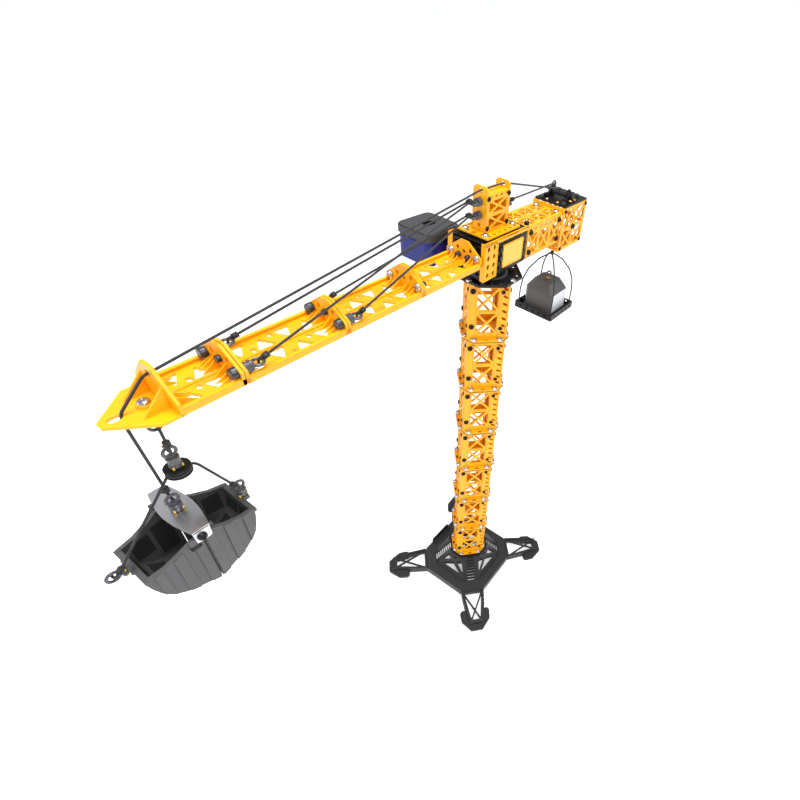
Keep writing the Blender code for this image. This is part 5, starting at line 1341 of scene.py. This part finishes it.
def batten(u0, u1, rim, bottom, x, z, sign, way):
    """A flat raised band down the outside of a jaw's side, past the bottom edge, from the rim."""
    points = []
    for u in (u0, u1):
        y = PIVOT_HALF + (LIP_HALF - PIVOT_HALF) * u / LIP_REACH
        top, low = height_on([*rim, (LIP_REACH, -18)], u) - 0.5, height_on(bottom, u)
        for v in (top, low + 0.4):
            points += [(x + sign * u, way * (y - 0.4), z + v), (x + sign * u, way * (y + 1.1), z + v)]
    return hull(points)


def jaw(name, sign, ear):
    x, z = BUCKET_X, PIVOT_Z
    rim = [(0.35, -4), (7, -5), (17, -11), (28, -16)]
    line = bowl()
    outer = [*rim, *line]
    inside = [(u, v) for u, v in bowl(-2.2)]
    inner = [
        (-1, 6),
        (38, 6),
        (38, -19),
        *[point for point in inside if point[1] < -19.5 and point[0] > 0.5],
        (-1, -58.6),
    ]
    body = combine(scoop(outer, sign, 0), [scoop(inner, sign, 1.8)], "DIFFERENCE")
    shapes = [body]
    near, far = ear
    for way in (1, -1):
        y0, y1 = sorted((way * near, way * far))
        shapes.append(turned([(2.4, 0), (5, 0), (5, y1 - y0), (2.4, y1 - y0)], (x, y0, z), NEAR, 24))
        x0, x1 = sorted((x + sign * 2.6, x + sign * 10))
        shapes.append(block((x0, y0, z - 12), (x1, y1, z - 1)))
        y0, y1 = sorted((way * min(near, PIVOT_HALF - 1.8), way * max(far, PIVOT_HALF - 1)))
        x0, x1 = sorted((x + sign * 3, x + sign * 10))
        shapes.append(block((x0, y0, z - 12), (x1, y1, z - 7.5)))
    for y in (-15, -9, -3, 3, 9, 15):
        ridge = bowl(1.1)[3:-1] + bowl(-0.6)[3:-1][::-1]
        rib = prism([(u, v) for u, v in ridge], -1.5, 1.5, upright(x=x, y=y, z=z))
        if sign < 0:
            rib.data.transform(Matrix.Translation((2 * x, 0, 0)) @ Matrix.Scale(-1, 4, AHEAD))
        shapes.append(rib)
    x0, x1 = sorted((x + sign * (LIP_REACH - 2.5), x + sign * (LIP_REACH + 1.6)))
    shapes.append(block((x0, -LIP_HALF - 1, z - 21), (x1, LIP_HALF + 1, z - 18.2)))
    x0, x1 = sorted((x + sign * (LIP_REACH - 1), x + sign * (LIP_REACH + (6 if sign < 0 else 2.6))))
    tab = block((x0, -5, z - 22), (x1, 5, z - (18 if sign < 0 else 12.5)))
    shapes.append(tab)
    for way in (1, -1):
        edge = [*rim, (LIP_REACH, -18)]
        for (u0, v0), (u1, v1) in zip(edge, edge[1:]):
            reach = [PIVOT_HALF + (LIP_HALF - PIVOT_HALF) * u / LIP_REACH for u in (u0, u1)]
            points = []
            for (u, v), y in zip(((u0, v0), (u1, v1)), reach):
                for dy in (-2.4, 0.8):
                    for dz in (-1.4, 0.5):
                        points.append((x + sign * u, way * (y + dy), z + v + dz))
            shapes.append(hull(points))
        for u0, u1 in BATTENS:
            shapes.append(batten(u0, u1, rim, line, x, z, sign, way))
    put(name, shapes, JAW, name.replace("bucket_", "").replace("_shell", ""), [name.replace("_shell", "")])
    lining = []
    for way in (1, -1):
        for u0, u1, v0, v1 in ((4, 17, -50, -16), (20, 33, -40, -20)):
            points = []
            for u in (u0, u1):
                y = way * (PIVOT_HALF + (LIP_HALF - PIVOT_HALF) * u / LIP_REACH - 1.8)
                for v in (v0, v1):
                    points += [(x + sign * u, y + way * 0.1, z + v), (x + sign * u, y - way * 0.6, z + v)]
            lining.append(hull(points))
    for y0, y1 in ((-15, -1.5), (1.5, 15)):
        for low_step, high_step in ((4, 9), (11, 16)):
            ridge = bowl(-2.0)[low_step:high_step] + bowl(-2.9)[low_step:high_step][::-1]
            panel = prism(ridge, -(y1 - y0) / 2, (y1 - y0) / 2, upright(x=x, y=(y0 + y1) / 2, z=z))
            if sign < 0:
                panel.data.transform(Matrix.Translation((2 * x, 0, 0)) @ Matrix.Scale(-1, 4, AHEAD))
            lining.append(panel)
    body_name = name.replace("bucket_", "").replace("_shell", "")
    piece(name.replace("shell", "lining"), gather(lining), BASE, body_name)


def saddle():
    x, z, half = BUCKET_X, PIVOT_Z, 28.5
    outline = []
    for step in range(11):
        v = -half + 2 * half * step / 10
        outline.append((6 + 4.5 * math.cos(v / half * math.pi / 2), v))
    outline += [(-u, v) for u, v in reversed(outline)]
    shapes = [prism([(x + u, v) for u, v in outline], z + 6, z + 7.5)]
    for way in (1, -1):
        y0, y1 = sorted((way * half, way * (half - 1.5)))
        flap = rounded([(-6, 7), (-5.4, -5), (5.4, -5), (6, 7)][::1], 2)
        shapes.append(prism(flap, 0, y1 - y0, upright(x=x, y=y1, z=z)))
    plates = gather(shapes)
    piece("saddle_plate", plates, PLATE, "grab", ["bucket_saddle"])
    pins = []
    for way in (1, -1):
        pins.append(rod(2, 9, (x, way * 19, z), (0, way, 0), 16))
    put("saddle_pins", pins, STEEL, "grab", smooth=35)
    heads = [screw_at("black", (x + 1, way * half, z), (0, way, 0)) for way in (1, -1)]
    put("saddle_bolts", heads, BLACK, "grab", smooth=35)


def pulley():
    x, z = NOSE_EYE_X, PULLEY_Z
    profile = [
        (0.01, -3.2), (8.2, -3.2), (8.6, -2.8), (8.6, -2.2), (6.8, -1.2), (6.6, 0), (6.8, 1.2), (8.6, 2.2)
    ]
    profile += [(8.6, 2.8), (8.2, 3.2), (0.01, 3.2)]
    shapes = [turned(profile, (x, 0, z), UP, 36)]
    shapes.append(turned([(0.01, -4.2), (2.6, -4.2), (3, -3.8), (3, -3.1), (0.01, -3.1)], (x, 0, z), UP, 20))
    shapes.append(turned([(5.4, 3.1), (7.4, 3.1), (7.2, 3.6), (5.6, 3.6)], (x, 0, z), UP, 30))
    put("pulley_wheel", shapes, BLACK, "pulley", ["bucket_pulley"], 35)


set_camera()
set_light()
ropes()
base_frame()
legs()
tower()
turntable()
cab()
mast()
eyebolts()
for segment in range(1, 5):
    jib_segment(segment)
jib_screws()
counter_jib()
counter_box()
winch()
motor()
counterweight()
jaw("bucket_jaw_front_shell", 1, (24.4, 26.4))
jaw("bucket_jaw_back_shell", -1, (19.6, 21.6))
saddle()
pulley()
for mesh in HEADS.values():
    bpy.data.meshes.remove(mesh)

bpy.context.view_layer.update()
